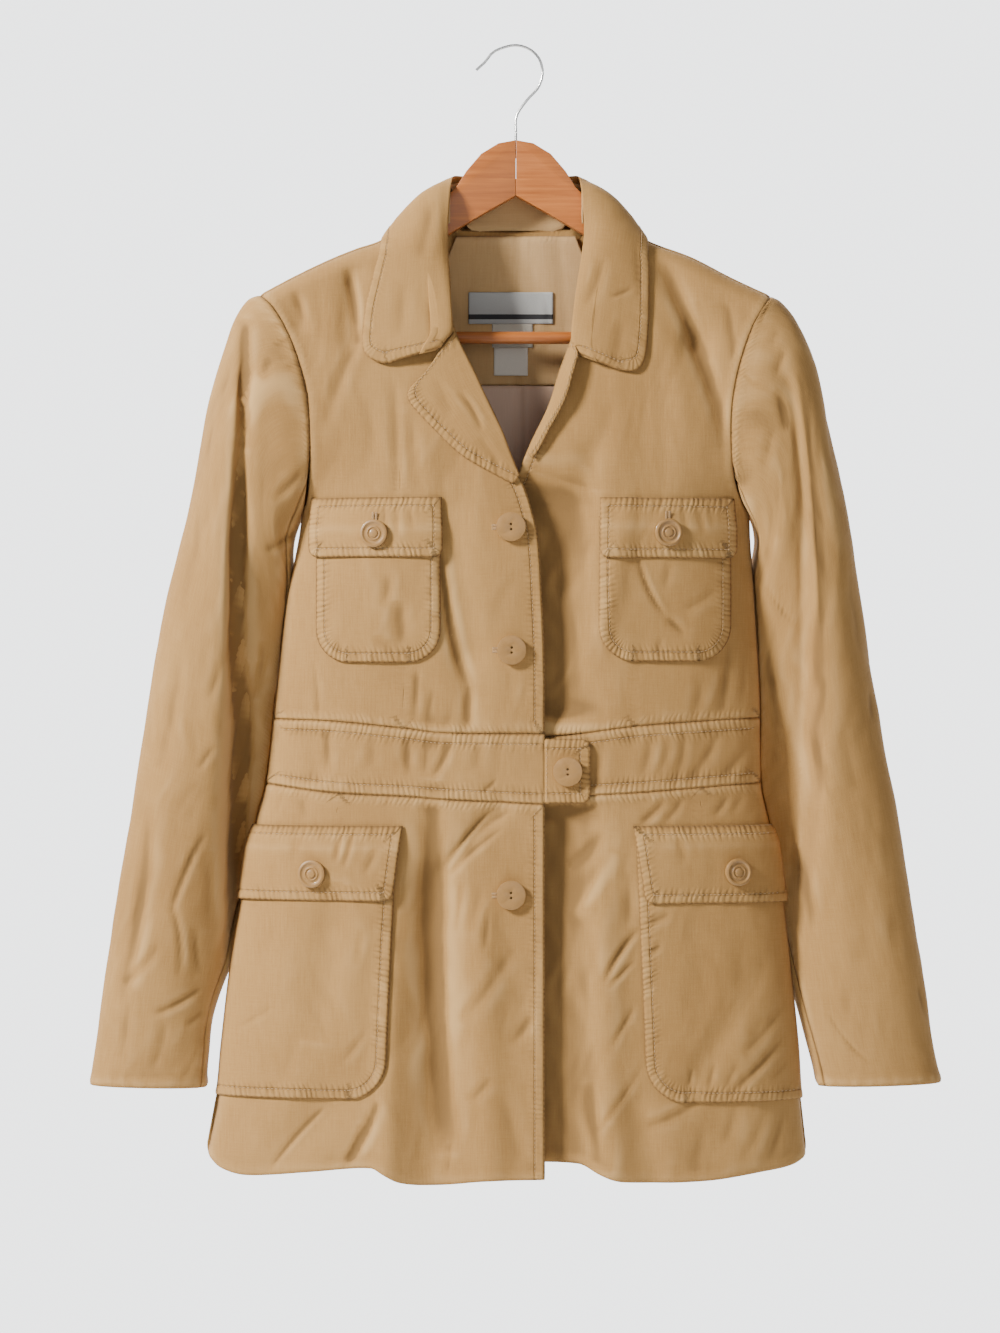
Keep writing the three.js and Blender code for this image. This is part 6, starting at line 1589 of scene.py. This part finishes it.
def rounded_levels(top, foot, corner):
    straight = mix(top, foot + corner, np.linspace(0, 1, max(3, int((top - foot - corner) / STEP))))
    angles = np.linspace(0, math.pi / 2 * 0.96, max(4, int(corner * 1.5 / STEP)))[1:]
    levels = np.concatenate([straight, foot + corner * (1 - np.sin(angles))])
    drawn = np.concatenate([0 * straight, corner * (1 - np.cos(angles))])
    count = 3 * max(3, round((len(levels) - 1) / 3)) + 1
    at = np.linspace(0, len(levels) - 1, count)
    return np.interp(at, np.arange(len(levels)), levels), np.interp(at, np.arange(len(levels)), drawn)


def laid_piece(name, side, z, left, right, lift, fullness_mm, plan, seed, inset, width):
    share = shares_for(width)[None, :]
    x = mix(left[:, None], right[:, None], share)
    z = z[:, None] + 0 * share
    points, normals = on_body(x, z, side)
    flat = np.stack([x, z], axis=-1)
    down = np.linspace(0, 1, len(left))[:, None]
    pillow = (np.sin(math.pi * share) * np.sin(math.pi * down)).clip(0) ** 0.55
    height = np.asarray(lift)[:, None] + fullness_mm * pillow + detail(x, z, side)
    distances = []
    for at, where in enumerate(plan):
        distance, along_it = edge_field(flat, borders(flat)[where])
        distances.append(distance)
        height += sewn(distance, along_it, "stitched", seed + at, 1.2, inset) * (1 if where != "top" else 0.5)
    seams = [(borders(flat)[where], inset, 1.2) for where in plan]
    cloth = cloth_piece(name, points, normals, height, flat, PATCH, khaki, seams)
    for where in plan:
        stitch_along("pockets", cloth, borders(flat)[where], inset)
    return cloth


for at, (key, left, right, top, foot, corner, flap_left, flap_right, flap_top) in enumerate(CHEST_POCKETS):
    z, drawn = rounded_levels(top, foot, corner)
    laid_piece(f"chest_pocket_{key}", key, z, left + drawn, right - drawn, np.full(len(z), POCKET_LIFT), 2.6,
               ("first", "last", "foot"), 700 + 10 * at, 7.4, right - left)
    z, drawn = rounded_levels(flap_top, flap_top - CHEST_FLAP_HEIGHT, FLAP_CORNER)
    rise = np.interp(-z, [-flap_top, -top - 1, -top + 8], [POCKET_LIFT, FLAP_LIFT, FLAP_OVER_POCKET + 0.8])
    laid_piece(f"chest_flap_{key}", key, z, flap_left + drawn, flap_right - drawn, rise, 1.6,
               ("first", "last", "foot", "top"), 740 + 10 * at, 7.0, flap_right - flap_left)

for at, (key, inner, inner_foot, top, foot, corner, flap_inner, flap_inner_foot, flap_top, flap_foot) in enumerate(HIP_POCKETS):
    sign = -1 if key == "left" else 1
    z, drawn = rounded_levels(top, foot, corner)
    inner_x = mix(inner, inner_foot, (z - top) / (foot - top)) + sign * drawn
    laid_piece(f"hip_pocket_{key}", key, z, side_x(key, z) * HIP_EDGE_SHARE, inner_x, np.full(len(z), POCKET_LIFT),
               3.0, ("last", "foot"), 780 + 10 * at, 7.4, 150)
    z, drawn = rounded_levels(flap_top, flap_foot, FLAP_CORNER)
    inner_x = mix(flap_inner, flap_inner_foot, (z - flap_top) / (flap_foot - flap_top)) + sign * drawn
    rise = np.interp(-z, [-flap_top, -top - 1, -top + 8], [POCKET_LIFT, FLAP_LIFT, FLAP_OVER_POCKET + 0.8])
    laid_piece(f"hip_flap_{key}", key, z, side_x(key, z) * HIP_EDGE_SHARE, inner_x, rise, 1.4,
               ("last", "foot", "top"), 820 + 10 * at, 7.0, 150)
print("pockets:", made["hip_pocket_left"]["points"].shape)

# %% Waist tab
TAB_FROM, TAB_TO, TAB_TOP, TAB_FOOT, TAB_ROUND = 22.8, 59.0, -557.0, -608.0, 7.0


def tab_lift(x):
    return mix(3.7, 2.3, smooth(TAB_FROM, TAB_TO, x))


place = TAB_FROM + (TAB_TO - 0.2 - TAB_FROM) * np.sin(np.linspace(0, math.pi / 2, steps_for(40, 1.6) + 1)) ** 0.9
past = np.maximum(place - (TAB_TO - TAB_ROUND), 0)
drawn = TAB_ROUND - np.sqrt(np.maximum(TAB_ROUND ** 2 - past ** 2, 0))
x = place[:, None] + 0 * shares_for(51, 1.6)[None, :]
z = mix((TAB_TOP - drawn)[:, None], (TAB_FOOT + drawn)[:, None], shares_for(51, 1.6)[None, :])
points, normals = on_body(x, z, "right")
flat = np.stack([x, z], axis=-1)
height = tab_lift(x) + 0.3 * detail(x, z, "right")
tab_borders = (flat[:, 0], flat[-1], flat[:, -1])
for seed, border in enumerate(tab_borders):
    distance, along_it = edge_field(flat, border)
    height += sewn(distance, along_it, "stitched", 860 + seed, 0.9, 7.6)
tab = cloth_piece("waist_tab", points, normals, height, flat, CLOTH - 0.2, khaki,
                  [(border, 7.6, 1.2) for border in tab_borders])
for border in tab_borders:
    stitch_along("body", tab, border, 7.6)
put_stitches("body", tab, resampled(np.array([[24.5, -562.0], [24.5, -603.0]]), STITCH_PITCH))
print("tab:", made["waist_tab"]["points"].shape)

# %% [markdown]
# ## Buttons and buttonholes
# The buttons are cast in one piece with a raised rim. Those of the front and the tab have two
# holes that a tape or thread goes through, those of the pockets a ring and a stud. Each one is
# shaped once from a cylinder in edit mode and then set on the cloth.

# %% Button shapes
BUTTON_RADIUS, BUTTON_THICK = 11.0, 3.4
BUTTONHOLE_HALF = 8.5


def button_finish():
    recipe = Recipe("tan_button", (0.30, 0.16, 0.05), 0.42)
    place = recipe.node("ShaderNodeTexCoord", {}, {}, output=3)
    cloudy = recipe.noise(place, 240.0, 4.0, 0.6)
    colour = recipe.blend(cloudy, (0.25, 0.13, 0.038), (0.35, 0.19, 0.06))
    recipe.shader.inputs["Specular IOR Level"].default_value = 0.45
    recipe.shader.inputs["Coat Weight"].default_value = 0.15
    return recipe.finish(colour, 0.34 + cloudy * 0.2, cloudy, 0.12, 0.0003)


tan_button = button_finish()


def plain_cylinder(name, radius, depth, sides, place=(0, 0, 0)):
    bpy.ops.object.select_all(action="DESELECT")
    bpy.ops.mesh.primitive_cylinder_add(vertices=sides, radius=radius * MM, depth=depth * MM, location=place)
    piece = bpy.context.active_object
    piece.name = name
    return piece


def shaped_button(name, rings, sides=40):
    """rings are pairs of an inset and a push along the button's axis, from the rim inwards."""
    piece = plain_cylinder(name, BUTTON_RADIUS, BUTTON_THICK, sides)
    for vertex in piece.data.vertices:
        vertex.select = False
    for polygon in piece.data.polygons:
        polygon.select = polygon.normal.z > 0.9
    bpy.ops.object.mode_set(mode="EDIT")
    bpy.ops.mesh.select_mode(type="FACE")
    for inwards, push in rings:
        bpy.ops.mesh.inset(thickness=inwards * MM, depth=push * MM)
    bpy.ops.object.mode_set(mode="OBJECT")
    return piece


def bored(piece, places, radius):
    for place in places:
        cutter = plain_cylinder("drill", radius, 20, 16, (0, place * MM, 0))
        cut = piece.modifiers.new("hole", "BOOLEAN")
        cut.object = cutter
        cut.operation = "DIFFERENCE"
        bpy.context.view_layer.objects.active = piece
        bpy.ops.object.modifier_apply(modifier="hole")
        bpy.data.objects.remove(cutter, do_unlink=True)


def rounded(piece, width, segments=2):
    bpy.ops.object.select_all(action="DESELECT")
    piece.select_set(True)
    bpy.context.view_layer.objects.active = piece
    bevel = piece.modifiers.new("round", "BEVEL")
    bevel.width = width * MM
    bevel.segments = segments
    bevel.limit_method = "ANGLE"
    bpy.ops.object.modifier_apply(modifier="round")
    bpy.ops.object.shade_smooth_by_angle(angle=math.radians(40))


holed = shaped_button("holed_button", [(0.5, 0.45), (0.9, 0.35), (1.1, 0.1), (0.8, -0.2), (2.0, -0.15), (1.6, 0.0)])
bored(holed, (-2.0, 2.0), 0.95)
rounded(holed, 0.22)
studded = shaped_button("studded_button", [(0.5, 0.35), (1.5, 0.25), (0.6, -0.5), (0.8, -0.5), (1.7, 0.0),
                                           (0.35, 0.55), (0.9, 0.1), (0.35, -0.6), (0.9, 0.0), (0.25, 0.8), (0.5, 0.2)])
rounded(studded, 0.12)
print("button faces:", len(holed.data.polygons), len(studded.data.polygons))

# %% Buttons on the cloth
SEATS = {"front": 0.6, "tab": tab_lift(41.5) + 0.6, "flap": FLAP_OVER_POCKET + 2.6}
TURNS = {"front_button_top": 0.05, "front_button_middle": -0.04, "front_button_low": 0.03}


def set_on_cloth(name, shape, x, z, kind):
    side = "left" if x < 30 else "right"
    place, normal = dressed(np.array([x]), np.array([z]), side, SEATS[kind])
    normal = Vector(normal[0])
    right = Vector((1, 0, 0)) - normal * normal.x
    right.normalize()
    up = normal.cross(right)
    seat = Vector(place[0] * MM) + normal * (BUTTON_THICK / 2 * MM)
    turn = Matrix((right, up, normal)).transposed().to_4x4()
    spin = Matrix.Rotation(TURNS.get(name, 0.0), 4, "Z")
    mesh = shape.data.copy()
    mesh.transform(Matrix.Translation(seat) @ turn @ spin)
    piece = bpy.data.objects.new(name + "_shaped", mesh)
    bpy.context.scene.collection.objects.link(piece)
    mesh.materials.clear()
    mesh.materials.append(tan_button)
    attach(piece, "root")
    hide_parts(name)
    return Vector(place[0]), right, up, normal


def bars(group, centre, ways, count, spread, length, lift):
    """A short row of thread lying side by side, each strand across the row."""
    row_way, strand_way, normal = ways
    for at in range(count):
        place = centre + row_way * (spread * (at / (count - 1) - 0.5)) + normal * lift
        for part in (-0.25, 0.25):
            spot = place + strand_way * (length * part)
            stitches.setdefault(group, []).append((np.array(spot), np.array(strand_way), np.array(normal)))


def buttonhole(x, z, side, upright, lift, first, last):
    for at in np.arange(first, last, 0.62):
        px, pz = (x, z + at) if upright else (x + at, z)
        for off in (-1.25, 1.25):
            sx, sz = (px + off, pz) if upright else (px, pz + off)
            place, normal = dressed(np.array([sx]), np.array([sz]), side, lift)
            ahead = dressed(np.array([sx + (0.5 if upright else 0)]), np.array([sz + (0 if upright else 0.5)]),
                            side, lift)[0][0] - place[0]
            ahead /= np.linalg.norm(ahead)
            stitches.setdefault("buttonholes", []).append((place[0], ahead, normal[0]))


for name, x, z, kind in BUTTONS:
    shape = studded if kind == "flap" else holed
    centre, right, up, normal = set_on_cloth(name, shape, x, z, kind)
    side = "left" if x < 30 else "right"
    if kind == "flap":
        buttonhole(x, z, side, True, SEATS[kind] - 1.0, 8.0, 17.0)
    else:
        buttonhole(x, z, side, False, SEATS[kind] - 0.5, -17.5 if kind == "tab" else -15.0, -8.0)
    if kind == "tab":
        bars("button_thread", centre + normal * (BUTTON_THICK * 0.62), (right, up, normal), 3, 1.2, 4.4, 0.35)
bpy.data.objects.remove(holed, do_unlink=True)
bpy.data.objects.remove(studded, do_unlink=True)

for name, rows in stitches.items():
    sewn_rows = sew_mesh(f"{name}_stitches", rows)
    print(sewn_rows.name, len(rows), "stitches")

# %% [markdown]
# ## The hanger
# Two arms are sawn from a board of alder or lotus wood and joined in the middle, a round bar is let
# into them for trousers, and a bent wire hook is screwed in. The long grain runs along the arms.

# %% Wood and steel
def wood_finish():
    recipe = Recipe("amber_wood", (0.42, 0.12, 0.016), 0.42)
    place = recipe.node("ShaderNodeTexCoord", {}, {}, output=3)
    bend = recipe.noise(recipe.placed(place, scale=(7, 7, 26)), 1.0, 2.0, 0.5)
    lines = recipe.noise(recipe.placed(place, turn=(0, 0.3, 0), scale=(14, 300, 330)), 1.0, 5.0, 0.65)
    pores = recipe.noise(recipe.placed(place, scale=(60, 1500, 1500)), 1.0, 2.0, 0.6)
    share = lines * 0.62 + bend * 0.3 + pores * 0.12
    spread = recipe.node("ShaderNodeMapRange", {"clamp": True}, {0: share, 1: 0.36, 2: 0.68, 3: 0.0, 4: 1.0})
    colour = recipe.blend(spread, (0.30, 0.078, 0.009), (0.50, 0.158, 0.025))
    recipe.shader.inputs["Coat Weight"].default_value = 0.25
    recipe.shader.inputs["Coat Roughness"].default_value = 0.3
    return recipe.finish(colour, 0.32 + lines * 0.25, lines * 0.6 + pores * 0.4, 0.15, 0.0004)


def steel_finish():
    recipe = Recipe("bright_wire", (0.72, 0.72, 0.72), 0.24)
    place = recipe.node("ShaderNodeTexCoord", {}, {}, output=3)
    drawn = recipe.noise(recipe.placed(place, scale=(700, 700, 90)), 1.0, 3.0, 0.6)
    recipe.shader.inputs["Metallic"].default_value = 1.0
    return recipe.finish(recipe.blend(drawn, (0.62, 0.62, 0.61), (0.80, 0.80, 0.79)), 0.18 + drawn * 0.16)


amber_wood, bright_wire = wood_finish(), steel_finish()


def merged_copy(node, name):
    source = bpy.data.objects[node]
    mesh = source.data.copy()
    mesh.transform(source.matrix_world)
    piece = bpy.data.objects.new(name, mesh)
    bpy.context.scene.collection.objects.link(piece)
    bpy.ops.object.select_all(action="DESELECT")
    piece.select_set(True)
    bpy.context.view_layer.objects.active = piece
    bpy.ops.object.mode_set(mode="EDIT")
    bpy.ops.mesh.select_all(action="SELECT")
    bpy.ops.mesh.remove_doubles(threshold=0.00001)
    bpy.ops.mesh.dissolve_limited(angle_limit=math.radians(1))
    bpy.ops.object.mode_set(mode="OBJECT")
    return piece


def dressed_hard(node, name, material, width):
    piece = merged_copy(node, name)
    if width:
        rounded(piece, width, 3)
    else:
        bpy.ops.object.shade_smooth_by_angle(angle=math.radians(50))
    piece.data.materials.clear()
    piece.data.materials.append(material)
    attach(piece, "root")
    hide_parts(node)
    return piece


dressed_hard("hanger_arm_left", "hanger_arm_left_rounded", amber_wood, 1.6)
dressed_hard("hanger_arm_right", "hanger_arm_right_rounded", amber_wood, 1.6)
dressed_hard("hanger_bar", "hanger_bar_rounded", amber_wood, 0.6)
dressed_hard("hanger_hook", "hanger_hook_smooth", bright_wire, 0)

# %% [markdown]
# ## The floor and the sizes
# A pale floor well below the hem catches the light and stands for the room. It is no part of the
# jacket. At the end we print the size of the dressed part and its number of triangles.

# %% Floor
FLOOR_Z = -1.35
bpy.ops.object.select_all(action="DESELECT")
bpy.ops.mesh.primitive_plane_add(size=3, location=(0, 0, FLOOR_Z))
floor = bpy.context.active_object
floor.name = "pale_floor"
paint = Recipe("pale_floor_paint", (0.80, 0.80, 0.79), 0.75)
floor.data.materials.append(paint.finish())
floor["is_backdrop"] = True

# %% Sizes
dressed_box = [[float(value) for value in corner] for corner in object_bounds()]
for axis, low, high in zip("xyz", *[[round(v * 1000, 1) for v in corner] for corner in dressed_box]):
    print(axis, low, "to", high, "mm")
triangles = sum(len(o.data.loop_triangles) or len(o.data.polygons) * 2 for o in bpy.data.objects
                if o.type == "MESH" and not o.hide_render)
print("about", triangles, "triangles")
